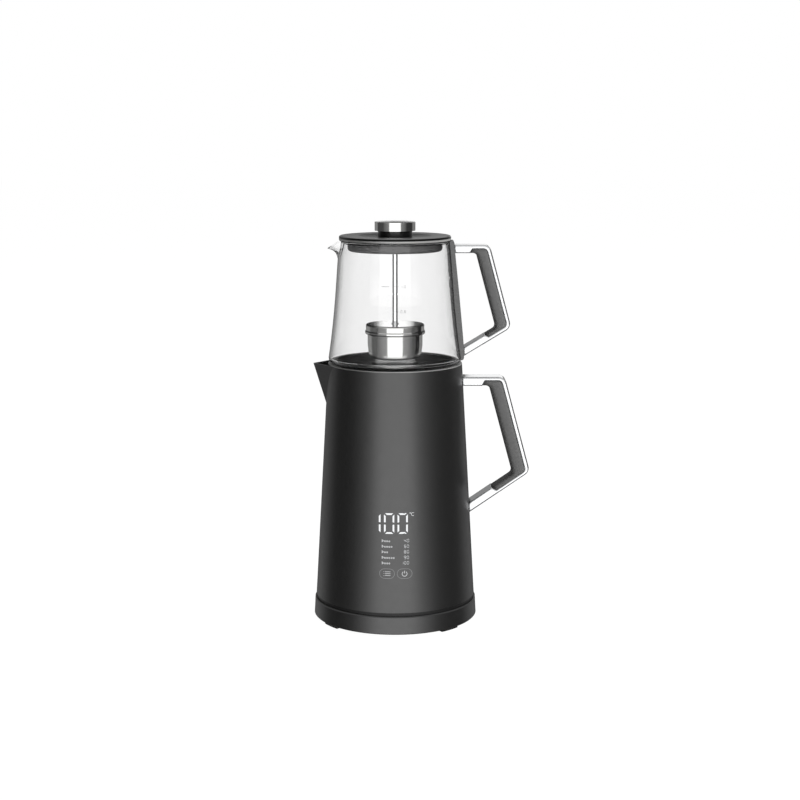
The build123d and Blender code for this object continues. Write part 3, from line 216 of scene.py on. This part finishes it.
# The same steel on the cup, whose slight taper is shaded as a straight wall so that its light bands run down
def cupSteel():
    material = buffedSteel()
    material.name = "cupSteel"
    tree = material.node_tree
    facing = addNode(tree, "NewGeometry").outputs["Normal"]
    normal = addNode(tree, "SeparateXYZ", None, {"Vector": facing}).outputs
    tilt = addNode(tree, "Math", {"operation": "ABSOLUTE"}, {0: normal["Z"]}).outputs[0]
    steep = addNode(tree, "MapRange", None, {"Value": tilt, "From Min": 0.45, "From Max": 0.95}).outputs[0]
    rise = addNode(tree, "Math", {"operation": "MULTIPLY"}, {0: normal["Z"], 1: steep}).outputs[0]
    level = addNode(tree, "CombineXYZ", None, {"X": normal["X"], "Y": normal["Y"], "Z": rise}).outputs[0]
    straight = addNode(tree, "VectorMath", {"operation": "NORMALIZE"}, {0: level}).outputs[0]
    tree.links.new(straight, tree.nodes["Principled BSDF"].inputs["Normal"])
    return material


# Turned stainless steel with a satin grain: grey, with one soft light line
def satinSteel():
    material = newMaterial("satinSteel", {"Base Color": "#b0b0af", "Metallic": 0.5, "Roughness": 0.42})
    roughen(material, 0.8, 0.36, 0.48, 3.0, (1, 1, 14))
    return material


# Black-chromed steel strip: a dark, slightly soft mirror
def darkSteel():
    material = newMaterial("darkSteel", {"Base Color": "#5c5c5c", "Metallic": 1.0, "Roughness": 0.3})
    roughen(material, 2.0, 0.24, 0.36)
    return material


# Deep-drawn stainless sheet: grey, lightly clouded along the draw
def drawnSteel():
    material = newMaterial("drawnSteel", {"Base Color": "#a9a8a5", "Metallic": 1.0, "Roughness": 0.34})
    roughen(material, 4.0, 0.28, 0.4, 3.0, (1, 1, 6))
    return material


# Zinc plate on steel screws and nuts: pale and a little uneven
def zincPlate():
    material = newMaterial("zincPlate", {"Base Color": "#b9bcc0", "Metallic": 1.0, "Roughness": 0.3})
    roughen(material, 1.5, 0.24, 0.38)
    return material


# Stamped brass with a slight tarnish: warm, half dull
def contactBrass():
    material = newMaterial("contactBrass", {"Base Color": "#c9a25c", "Metallic": 1.0, "Roughness": 0.3})
    roughen(material, 2.0, 0.22, 0.4)
    return material


# Cast aluminium: light grey, finely pitted
def castAluminium():
    material = newMaterial("castAluminium", {"Base Color": "#c6c8ca", "Metallic": 1.0, "Roughness": 0.4})
    stipple(material, 1.4, 0.03)
    return material


# Annealed steel tube: its oxide is brown-grey and dull
def annealedSheath():
    material = newMaterial("annealedSheath", {"Base Color": "#6e6a64", "Metallic": 1.0, "Roughness": 0.5})
    roughen(material, 3.0, 0.42, 0.6)
    return material


# Glass-fibre board under printed solder resist: green, with the weave just showing
def solderResist():
    material = newMaterial("solderResist", {"Base Color": "#1f5a33", "Roughness": 0.3, "IOR": 1.5})
    stipple(material, 0.8, 0.02)
    return material


# Moulded polyester of the relay: blue, half gloss
def relayCase():
    material = newMaterial("relayCase", {"Base Color": "#1e3f86", "Roughness": 0.35, "IOR": 1.5})
    stipple(material, 1.0, 0.01)
    return material


# Cast smoked acrylic: dark and glossy
def smokedAcrylic():
    material = newMaterial("smokedAcrylic", {"Base Color": "#2c2d2e", "Roughness": 0.2, "IOR": 1.49})
    roughen(material, 2.0, 0.15, 0.25)
    return material


# Elastomer skin moulded over the grips: dull, stippled, with edges that turn the light softly
def softTouch():
    material = newMaterial("softTouch", {"Base Color": "#666666", "Roughness": 0.6, "IOR": 1.45})
    tree = material.node_tree
    rounded = addNode(tree, "Bevel", {"samples": 8}, {"Radius": 7 * mm}).outputs["Normal"]
    skin = grain(tree, 0.45, 3.0, (1, 1, 1))
    bump = addNode(tree, "Bump", None, {"Height": skin, "Distance": 0.02 * mm, "Normal": rounded})
    tree.links.new(bump.outputs["Normal"], tree.nodes["Principled BSDF"].inputs["Normal"])
    return material


# Blown borosilicate glass: colourless, it shows by its reflections and its dark edges
def blownGlass():
    return newMaterial("blownGlass", {
        "Base Color": "#ffffff", "Roughness": 0.0, "IOR": 1.47, "Transmission Weight": 1.0})


slotFinishes = {
    "graphite_plastic": satinLacquer,
    "black_plastic": blackAbs,
    "base_rubber": mouldedRubber,
    "clear_silicone": clearSilicone,
    "zinc_steel": zincPlate,
    "contact_brass": contactBrass,
    "steel_tank": drawnSteel,
    "heater_aluminium": castAluminium,
    "element_steel": annealedSheath,
    "board_green": solderResist,
    "relay_blue": relayCase,
    "key_plastic": smokedAcrylic,
    "chrome_trim": chromePlate,
    "grip_plastic": softTouch,
    "teapot_clear": blownGlass,
    "polished_steel": buffedSteel,
    "plug_plastic": satinGreyAbs,
}
materials = {slot: make() for slot, make in slotFinishes.items()}


def dress(material, *names):
    for name in names:
        nodes[name].material_slots[0].material = material


for part in frame["record"]["subparts"]:
    dress(materials[part["material_slot"]], part["node"])
dress(glossAbs(), "knob_insert")
dress(lidLacquerAndPaintedLight(), "lid_plate")
dress(darkSilicone(), "lid_seal")
dress(satinSteel(), "lid_trim", "kettle_collar")
dress(darkSteel(), "teapot_strap", "handle_clip")
dress(cupSteel(), "infuser_cup")
dress(edgedChrome(), "kettle_handle_bar", "teapot_handle_bar")
dress(materials["chrome_trim"], "infuser_rod")
dress(materials["polished_steel"], "knob_cap")
print("materials:", len(materials))


# A bmesh becomes an object of the scene
def addObject(bm, name, material):
    mesh = bpy.data.meshes.new(name)
    bm.to_mesh(mesh)
    bm.free()
    mesh.materials.append(material)
    piece = bpy.data.objects.new(name, mesh)
    scene.collection.objects.link(piece)
    return piece


def addCamera():
    size = {"aside": 0.0047, "distance": 1.5401, "height": 0.4737, "tilt": 80.374,
            "lens": 73.03, "sensor": 36}
    data = bpy.data.cameras.new("camera")
    data.lens = size["lens"]
    data.sensor_width = size["sensor"]
    camera = bpy.data.objects.new("camera", data)
    camera.location = (size["aside"], -size["distance"], size["height"])
    camera.rotation_euler = (math.radians(size["tilt"]), 0, 0)
    scene.collection.objects.link(camera)
    scene.camera = camera


# Paper that is nearly all white where the camera sees it, and keeps a little of the object's shadow
def addFloor():
    size = {"radius": 12, "segments": 96, "whiteShare": 0.9, "white": 1.1, "paper": "#f4f4f2"}
    material = bpy.data.materials.new("studioPaper")
    material.use_nodes = True
    tree = material.node_tree
    tree.nodes.clear()
    seen = addNode(tree, "LightPath").outputs["Is Camera Ray"]
    share = addNode(tree, "Math", {"operation": "MULTIPLY"}, {0: seen, 1: size["whiteShare"]}).outputs[0]
    paper = addNode(tree, "BsdfDiffuse", None, {"Color": hexColor(size["paper"])}).outputs[0]
    white = addNode(tree, "Emission", None, {"Color": grey(1), "Strength": size["white"]}).outputs[0]
    mixed = addNode(tree, "MixShader", None, {"Fac": share, 1: paper, 2: white}).outputs[0]
    addNode(tree, "OutputMaterial", None, {"Surface": mixed})

    bm = bmesh.new()
    bmesh.ops.create_circle(bm, cap_ends=True, segments=size["segments"], radius=size["radius"])
    floor = addObject(bm, "floor", material)
    floor.visible_glossy = False
    floor.visible_shadow = False
    floor.visible_transmission = False


studio = {
    "strength": 1.8,
    # cards round the object: degrees from straight ahead and the grey there, on both sides alike
    "lowCard": [(30, 1.8), (34, 0.27)],
    "highCard": [(30, 0.9), (32, 0.27)],
    "beside": [(50, 0.22), (64, 0.12), (69, 0.05), (112, 0.04),
               (120, 0.26), (150, 0.26), (158, 0.15), (180, 0.15)],
    "wideCard": [(42, 1.5), (58, 0.16), (90, 0.04), (112, 0.04),
                 (124, 0.4), (150, 0.4), (162, 0.1), (180, 0.1)],
    "leftFrom": 60,  # degrees past which the left side is lighter, by the two glows
    "leftGlow": 0.03,
    "wideLeftGlow": 0.06,
    "horizon": {"From Min": 0.0, "From Max": 0.012},  # from the low card to the high one
    "slope": {"From Min": 0.2, "From Max": 0.26},  # from both to the wide one
    # cards behind it: the share of the way from left to right, and the grey there
    "lowBack": [(0.0, 0.1), (0.44, 0.16), (0.46, 0.55), (0.8, 0.55), (1.0, 0.1)],
    "highBack": [(0.0, 0.1), (0.44, 0.16), (0.455, 0.012), (0.538, 0.012),
                 (0.543, 0.55), (0.8, 0.55), (1.0, 0.1)],
    "backWidth": {"From Min": -0.5, "From Max": 0.5},
    "backStep": {"From Min": 0.09, "From Max": 0.1},  # from the low back to the high one
    "backFrom": 0.85,
    "backTop": 0.21,
    # a white slit between black walls behind the glass, from left to right
    "slit": [(0.0, 0.005), (0.3, 0.005), (0.36, 0.7), (0.64, 0.7), (0.7, 0.005), (1.0, 0.005)],
    "slitWidth": {"From Min": -0.053, "From Max": 0.047},
    # below and above: the share of the way from straight down to straight up
    "endCover": [(0.0, 1), (0.14, 1), (0.24, 0), (0.64, 0), (0.78, 1), (1.0, 1)],
    "ends": [(0.0, 0.06), (0.3, 0.08), (0.7, 0.2), (1.0, 0.35)],
    # seen through glass: how far a ray goes aside or up from straight behind
    "glassEdge": [(0.0, 1.0), (0.06, 1.0), (0.14, 0.94), (0.22, 0.78),
                  (0.3, 0.5), (0.4, 0.5), (0.46, 1.0), (1.0, 1.0)],
    "glassRise": {"From Min": -0.1, "From Max": 0.9, "To Max": 1.2},
    "haze": 0.03,  # added to reflections that show through glass
    "fill": 0.05,
    "frontFill": 1.3,
}


# Stops of a ramp that goes once round from straight behind
def bothSides(stops, glow):
    left = []
    for angle, shade in reversed(stops):
        left.append((-angle, shade + glow if angle > studio["leftFrom"] else shade))
    return [((angle + 180) / 360, shade / studio["strength"]) for angle, shade in left + stops]


# How a ray came: from the camera, through glass alone, by way of a reflection, or just out of glass
def sights(tree):
    path = addNode(tree, "LightPath").outputs
    over = {"operation": "GREATER_THAN"}
    mirrored = addNode(tree, "Math", over, {0: path["Glossy Depth"], 1: 0.5}).outputs[0]
    scattered = addNode(tree, "Math", over, {0: path["Diffuse Depth"], 1: 0.5}).outputs[0]
    turned = addNode(tree, "Math", {"operation": "MAXIMUM"}, {0: mirrored, 1: scattered}).outputs[0]
    passed = path["Is Transmission Ray"]
    through = addNode(tree, "Math", over, {0: passed, 1: turned}).outputs[0]
    return {"plain": path["Is Camera Ray"], "through": through, "mirrored": mirrored, "passed": passed}


# A white card in front, half as bright above the horizon, with grey and then black beside it
def cardsAround(tree, axes):
    backward = addNode(tree, "Math", {"operation": "MULTIPLY"}, {0: axes["Y"], 1: -1.0}).outputs[0]
    azimuth = addNode(tree, "Math", {"operation": "ARCTAN2"}, {0: axes["X"], 1: backward}).outputs[0]
    turn = addNode(tree, "MapRange", None, {
        "Value": azimuth, "From Min": -math.pi, "From Max": math.pi}).outputs[0]
    lowStops = bothSides(studio["lowCard"] + studio["beside"], studio["leftGlow"])
    highStops = bothSides(studio["highCard"] + studio["beside"], studio["leftGlow"])
    wideStops = bothSides(studio["wideCard"], studio["wideLeftGlow"])
    low, high, wide = [addNode(tree, "ValToRGB", {"stops": stops}, {"Fac": turn}).outputs["Color"]
                       for stops in (lowStops, highStops, wideStops)]
    risen = addNode(tree, "MapRange", None, {"Value": axes["Z"], **studio["horizon"]}).outputs[0]
    level = addNode(tree, "Mix", colorMix, {"Factor": risen, "A": low, "B": high}).outputs["Result"]
    slope = addNode(tree, "Math", {"operation": "ABSOLUTE"}, {0: axes["Z"]}).outputs[0]
    steep = addNode(tree, "MapRange", None, {"Value": slope, **studio["slope"]}).outputs[0]
    return addNode(tree, "Mix", colorMix, {"Factor": steep, "A": level, "B": wide}).outputs["Result"]


# Straight behind: grey on the left and below, white on the right, black between a little above the horizon
def cardsBehind(tree, axes, cards, above):
    across = addNode(tree, "MapRange", None, {"Value": axes["X"], **studio["backWidth"]}).outputs[0]
    low = addNode(tree, "ValToRGB", {"stops": studio["lowBack"]}, {"Fac": across}).outputs["Color"]
    high = addNode(tree, "ValToRGB", {"stops": studio["highBack"]}, {"Fac": across}).outputs["Color"]
    risen = addNode(tree, "MapRange", None, {"Value": axes["Z"], **studio["backStep"]}).outputs[0]
    back = addNode(tree, "Mix", colorMix, {"Factor": risen, "A": low, "B": high}).outputs["Result"]
    rear = addNode(tree, "Math", {"operation": "GREATER_THAN"}, {
        0: axes["Y"], 1: studio["backFrom"]}).outputs[0]
    under = addNode(tree, "Math", {"operation": "LESS_THAN"}, {
        0: axes["Z"], 1: studio["backTop"]}).outputs[0]
    between = addNode(tree, "Math", {"operation": "MULTIPLY"}, {0: above, 1: under}).outputs[0]
    place = addNode(tree, "Math", {"operation": "MULTIPLY"}, {0: rear, 1: between}).outputs[0]
    return addNode(tree, "Mix", colorMix, {"Factor": place, "A": cards, "B": back}).outputs["Result"]


# A grey strip beside and above the white straight behind: glass bends rays into it, which draws its outline
def glassBackdrop(tree, axes):
    rise = addNode(tree, "MapRange", None, {"Value": axes["Z"], **studio["glassRise"]}).outputs[0]
    way = addNode(tree, "CombineXYZ", None, {"X": axes["X"], "Y": rise}).outputs[0]
    aside = addNode(tree, "VectorMath", {"operation": "LENGTH"}, {0: way}).outputs["Value"]
    return addNode(tree, "ValToRGB", {"stops": studio["glassEdge"]}, {"Fac": aside}).outputs["Color"]


# What metal, glass and paint reflect, and the dim light that scattered rays find
def reflectedStudio(tree, axes, sight):
    above = addNode(tree, "Math", {"operation": "GREATER_THAN"}, {0: axes["Z"], 1: 0.0}).outputs[0]
    cards = cardsBehind(tree, axes, cardsAround(tree, axes), above)
    height = addNode(tree, "MapRange", None, {"Value": axes["Z"], "From Min": -1.0}).outputs[0]
    cover = addNode(tree, "ValToRGB", {"stops": studio["endCover"]}, {"Fac": height}).outputs["Color"]
    ends = addNode(tree, "ValToRGB", {"stops": studio["ends"]}, {"Fac": height}).outputs["Color"]
    room = addNode(tree, "Mix", colorMix, {"Factor": cover, "A": cards, "B": ends}).outputs["Result"]
    hazy = addNode(tree, "Mix", {"data_type": "RGBA", "blend_type": "ADD"}, {
        "Factor": sight["passed"], "A": room, "B": grey(studio["haze"])}).outputs["Result"]

    # rays that leave the glass upwards and back see the slit
    rear = addNode(tree, "Math", {"operation": "GREATER_THAN"}, {0: axes["Y"], 1: 0.0}).outputs[0]
    upper = addNode(tree, "Math", {"operation": "MULTIPLY"}, {0: rear, 1: above}).outputs[0]
    leaving = addNode(tree, "Math", {"operation": "MULTIPLY"}, {0: upper, 1: sight["passed"]}).outputs[0]
    across = addNode(tree, "MapRange", None, {"Value": axes["X"], **studio["slitWidth"]}).outputs[0]
    slit = addNode(tree, "ValToRGB", {"stops": studio["slit"]}, {"Fac": across}).outputs["Color"]
    mirror = addNode(tree, "Mix", colorMix, {"Factor": leaving, "A": hazy, "B": slit}).outputs["Result"]

    # scattered rays find a dim fill, and more light in front once they have left the glass
    front = addNode(tree, "MapRange", None, {
        "Value": axes["Y"], "From Min": 0.0, "From Max": -1.0}).outputs[0]
    frontal = addNode(tree, "Math", {"operation": "POWER"}, {0: front, 1: 2.0}).outputs[0]
    inside = addNode(tree, "Math", {"operation": "MULTIPLY"}, {0: frontal, 1: sight["passed"]}).outputs[0]
    fill = addNode(tree, "Mix", colorMix, {
        "Factor": inside, "A": grey(studio["fill"]), "B": grey(studio["frontFill"])}).outputs["Result"]
    return addNode(tree, "Mix", colorMix, {
        "Factor": sight["mirrored"], "A": fill, "B": mirror}).outputs["Result"]


# The world is white where it is seen, dim as light, and banded like a studio in reflections
def addWorld():
    world = bpy.data.worlds.new("studio")
    scene.world = world
    world.use_nodes = True
    tree = world.node_tree
    tree.nodes.clear()
    direction = addNode(tree, "TexCoord").outputs["Generated"]
    axes = addNode(tree, "SeparateXYZ", None, {"Vector": direction}).outputs
    sight = sights(tree)
    white = addNode(tree, "Mix", colorMix, {
        "Factor": sight["through"], "A": grey(1), "B": glassBackdrop(tree, axes)}).outputs["Result"]
    seen = addNode(tree, "Background", None, {"Color": white, "Strength": 1.0}).outputs[0]
    reflected = addNode(tree, "Background", None, {
        "Color": reflectedStudio(tree, axes, sight), "Strength": studio["strength"]}).outputs[0]
    direct = addNode(tree, "Math", {"operation": "MAXIMUM"}, {
        0: sight["plain"], 1: sight["through"]}).outputs[0]
    mixed = addNode(tree, "MixShader", None, {"Fac": direct, 1: reflected, 2: seen}).outputs[0]
    addNode(tree, "OutputWorld", None, {"Surface": mixed})


softboxes = {
    "keySoftbox": {"place": (2.8, -1.5, 1.3), "side": 0.9, "power": 128},
    "topSoftbox": {"place": (0, 0.2, 2.2), "side": 1.6, "power": 14},
}


# A square lamp aimed at the kettle, which lights but isn't seen or mirrored
def addSoftbox(name, box):
    aim = Vector((0, 0, 0.2))
    data = bpy.data.lights.new(name, "AREA")
    data.size = box["side"]
    data.energy = box["power"]
    light = bpy.data.objects.new(name, data)
    light.location = box["place"]
    light.rotation_euler = (aim - Vector(box["place"])).to_track_quat("-Z", "Y").to_euler()
    scene.collection.objects.link(light)
    light.visible_camera = False
    light.visible_glossy = False
    light.visible_transmission = False


addCamera()
addFloor()
addWorld()
for name, box in softboxes.items():
    addSoftbox(name, box)
scene.view_settings.view_transform = "Standard"
print("studio ready")


# Each rubber edge reaches from under a foot nearly to the base's rim, where it shows below the housing
def addFootEdges():
    size = {"inner": 64.0, "outer": 75.8, "height": 2.6, "middles": (-55, 44, 174), "spread": 16, "steps": 10}
    bm = bmesh.new()
    for middle in size["middles"]:
        start = Matrix.Rotation(math.radians(middle - size["spread"] / 2), 3, "Z")
        ends = [bm.verts.new(start @ Vector((0, -size[rim] * mm, 0))) for rim in ("inner", "outer")]
        bmesh.ops.spin(bm, geom=ends + [bm.edges.new(ends)], cent=(0, 0, 0), axis=(0, 0, 1),
                       angle=math.radians(size["spread"]), steps=size["steps"])
    grown = bmesh.ops.extrude_face_region(bm, geom=bm.faces[:])["geom"]
    raised = [item for item in grown if isinstance(item, bmesh.types.BMVert)]
    bmesh.ops.translate(bm, verts=raised, vec=(0, 0, size["height"] * mm))
    bmesh.ops.recalc_face_normals(bm, faces=bm.faces)
    edges = addObject(bm, "foot_edges", materials["base_rubber"])
    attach(edges, "base")


addFootEdges()
print("foot edges placed")

# Outer walls under the marks, in millimetres
shell = {"footZ": 23.1, "footRadius": 77.0, "rimZ": 248.6, "rimRadius": 64.2}
glassWall = [(255.0, 63.6), (292.0, 58.9), (315.0, 56.8), (349.0, 54.3)]  # height and outer radius
printGap = 0.06


def shellRadius(z):
    share = (z - shell["footZ"]) / (shell["rimZ"] - shell["footZ"])
    return shell["footRadius"] + share * (shell["rimRadius"] - shell["footRadius"])


def glassRadius(z):
    for (lowZ, lowRadius), (highZ, highRadius) in zip(glassWall, glassWall[1:]):
        if z <= highZ:
            return lowRadius + (z - lowZ) / (highZ - lowZ) * (highRadius - lowRadius)
    return glassWall[-1][1]


def flatFace(bm, points):
    bm.faces.new([bm.verts.new((x, 0, z)) for x, z in points])


# A rectangle from its lower left corner
def block(bm, x, z, width, height):
    flatFace(bm, [(x, z), (x + width, z), (x + width, z + height), (x, z + height)])


# A band swept round a centre from one angle to another, which gives back the edges at its ends
def arcBand(bm, x, z, radius, width, start, end, steps=20):
    turn = Matrix.Rotation(math.radians(-start), 3, "Y")
    center = Vector((x, 0, z))
    reaches = (radius - width / 2, radius + width / 2)
    ends = [bm.verts.new(center + turn @ Vector((reach, 0, 0))) for reach in reaches]
    first = bm.edges.new(ends)
    swept = bmesh.ops.spin(bm, geom=ends + [first], cent=center, axis=(0, -1, 0),
                           angle=math.radians(end - start), steps=steps, use_merge=end - start == 360)
    return [first, *[item for item in swept["geom_last"] if isinstance(item, bmesh.types.BMEdge)]]


# The outline of a bar with round ends: half a turn at each end, joined above and below
def stadiumBand(bm, x, z, width, height, line, steps):
    reach = (width - height) / 2
    right, left = [
        arcBand(bm, x + side * reach, z, (height - line) / 2, line, start, start + 180, steps)
        for side, start in ((1, -90), (-1, 90))]
    bmesh.ops.bridge_loops(bm, edges=[right[1], left[0]])
    bmesh.ops.bridge_loops(bm, edges=[left[1], right[0]])


segmentsOf = {"0": "abcdef", "1": "bc", "4": "fgbc", "6": "afgedc", "8": "abcdefg", "9": "abcdfg"}


# A figure of seven mitred segments, centred on x and z
def figure(bm, digit, x, z, height, width, stroke):
    side, top = width / 2, height / 2
    cut = 0.65 * stroke
    tip = cut + stroke / 2
    foot = cut + stroke
    rung = [(-side + cut, top), (side - cut, top), (side - foot, top - stroke), (-side + foot, top - stroke)]
    post = [(side, top - 0.75 * stroke), (side, 0.6 * stroke),
            (side - stroke, 0.75 * stroke), (side - stroke, top - 1.75 * stroke)]
    bridge = [(-side + cut, 0), (-side + tip, stroke / 2), (side - tip, stroke / 2), (side - cut, 0),
              (side - tip, -stroke / 2), (-side + tip, -stroke / 2)]
    shapes = {
        "a": rung, "d": [(p, -q) for p, q in rung], "g": bridge, "b": post, "c": [(p, -q) for p, q in post],
        "f": [(-p, q) for p, q in post], "e": [(-p, -q) for p, q in post],
    }
    for key in segmentsOf[digit]:
        flatFace(bm, [(x + p, z + q) for p, q in shapes[key]])


# Marks are drawn flat in the front view, then laid on their round surface
def finishMarks(bm, name, body, radiusAt, material):
    for vert in bm.verts:
        x, z = vert.co.x, vert.co.z
        radius = radiusAt(z) + printGap
        vert.co = (x * mm, -math.sqrt(radius * radius - x * x) * mm, z * mm)
    bmesh.ops.recalc_face_normals(bm, faces=bm.faces)
    marks = addObject(bm, name, material)
    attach(marks, body)


# White light through the shell where it is thinned: flat and even, with no lamp showing
def shellLight(name, strength):
    return newMaterial(name, {
        "Base Color": "#303132", "Roughness": 0.5,
        "Emission Color": "#fbfdff", "Emission Strength": strength})


# Grey enamel printed and fired on the glass: matt and flat
def firedInk():
    return newMaterial("firedInk", {"Base Color": "#8b8b8b", "Roughness": 0.6})


brightLight = shellLight("brightLight", 0.95)
softLight = shellLight("softLight", 0.7)
faintLight = shellLight("faintLight", 0.3)


def addDisplay():
    size = {"height": 19.4, "width": 9.6, "stroke": 1.6, "z": 108.2,
            "figures": (("1", -18.2), ("0", -5.4), ("0", 7.2))}
    degree = {"x": 14.3, "z": 117.9, "radius": 0.55, "line": 0.22}
    celsius = {"x": 16.7, "z": 116.7, "radius": 1.45, "line": 0.34}
    bm = bmesh.new()
    for digit, x in size["figures"]:
        figure(bm, digit, x, size["z"], size["height"], size["width"], size["stroke"])
    arcBand(bm, degree["x"], degree["z"], degree["radius"], degree["line"], 0, 360, 16)
    arcBand(bm, celsius["x"], celsius["z"], celsius["radius"], celsius["line"], 50, 310)
    finishMarks(bm, "display_figures", "kettle", shellRadius, brightLight)


# Rows of the menu: rings for letters on the left, the first with a stem, and plain numbers on the right
def addMenu():
    rows = {"top": 91.9, "pitch": 5.25, "left": -12.2, "right": 13.3, "letters": (4, 5, 3, 6, 4),
            "numbers": ("40", "60", "80", "90", "100")}
    letter = {"height": 2.7, "low": 0.7, "width": 1.6, "ring": 1.59, "pitch": 2.05, "line": 0.42, "steps": 5}
    number = {"height": 3.1, "width": 2.1, "stroke": 0.55, "pitch": 2.6, "inset": 1.4}
    bm = bmesh.new()
    for k, (letters, digits) in enumerate(zip(rows["letters"], rows["numbers"])):
        z = rows["top"] - k * rows["pitch"]
        block(bm, rows["left"], z - letter["height"] / 2, letter["line"], letter["height"])
        for n in range(letters):
            x = rows["left"] + letter["pitch"] * n + letter["width"] / 2
            drop = 0 if n == 0 else letter["height"] * (1 - letter["low"]) / 2
            stadiumBand(bm, x, z - drop, letter["width"], letter["ring"], letter["line"], letter["steps"])
        for n, digit in enumerate(digits):
            x = rows["right"] - number["pitch"] * (len(digits) - n) + number["inset"]
            figure(bm, digit, x, z, number["height"], number["width"], number["stroke"])
    finishMarks(bm, "menu_rows", "kettle", shellRadius, softLight)


# Two rings round the touch keys, with a list and an on-off sign in them
def addKeys():
    key = {"width": 14.2, "height": 9.4, "line": 0.3, "steps": 12, "z": 60.8, "places": (-7.4, 9.0)}
    entry = {"pitch": 1.75, "line": 0.4, "dotFrom": -3.2, "dot": 0.6, "barFrom": -1.9, "bar": 5.1}
    power = {"radius": 2.3, "line": 0.5, "start": -235, "end": 55, "drop": 0.2, "stem": 2.6}
    bm = bmesh.new()
    for x in key["places"]:
        stadiumBand(bm, x, key["z"], key["width"], key["height"], key["line"], key["steps"])
    finishMarks(bm, "touch_key_rings", "kettle", shellRadius, faintLight)
    bm = bmesh.new()
    left, right = key["places"]
    for k in (-1, 0, 1):
        z = key["z"] + entry["pitch"] * k - entry["line"] / 2
        block(bm, left + entry["dotFrom"], z, entry["dot"], entry["line"])
        block(bm, left + entry["barFrom"], z, entry["bar"], entry["line"])
    arcBand(bm, right, key["z"] - power["drop"], power["radius"], power["line"], power["start"], power["end"])
    block(bm, right - power["line"] / 2, key["z"] + power["drop"], power["line"], power["stem"])
    finishMarks(bm, "touch_key_signs", "kettle", shellRadius, softLight)


# Scale of the glass: two levels with their litres, and a dash across from the upper one
def addScale():
    levels = ((327.2, "1", "0"), (304.4, "0", "8"))
    size = {"height": 2.6, "width": 1.7, "stroke": 0.4, "whole": 5.9, "part": 9.3, "point": 7.35, "dot": 0.45}
    dash = {"from": -0.4, "length": 3.6, "line": 0.4, "farFrom": -12.2, "farLength": 7.0}
    bm = bmesh.new()
    for z, whole, part in levels:
        block(bm, dash["from"], z - dash["line"] / 2, dash["length"], dash["line"])
        figure(bm, whole, size["whole"], z, size["height"], size["width"], size["stroke"])
        block(bm, size["point"], z - size["height"] / 2, size["dot"], size["dot"])
        figure(bm, part, size["part"], z, size["height"], size["width"], size["stroke"])
    block(bm, dash["farFrom"], levels[0][0] - dash["line"] / 2, dash["farLength"], dash["line"])
    finishMarks(bm, "scale_marks", "teapot", glassRadius, firedInk())


addDisplay()
addMenu()
addKeys()
addScale()
print("marks placed")
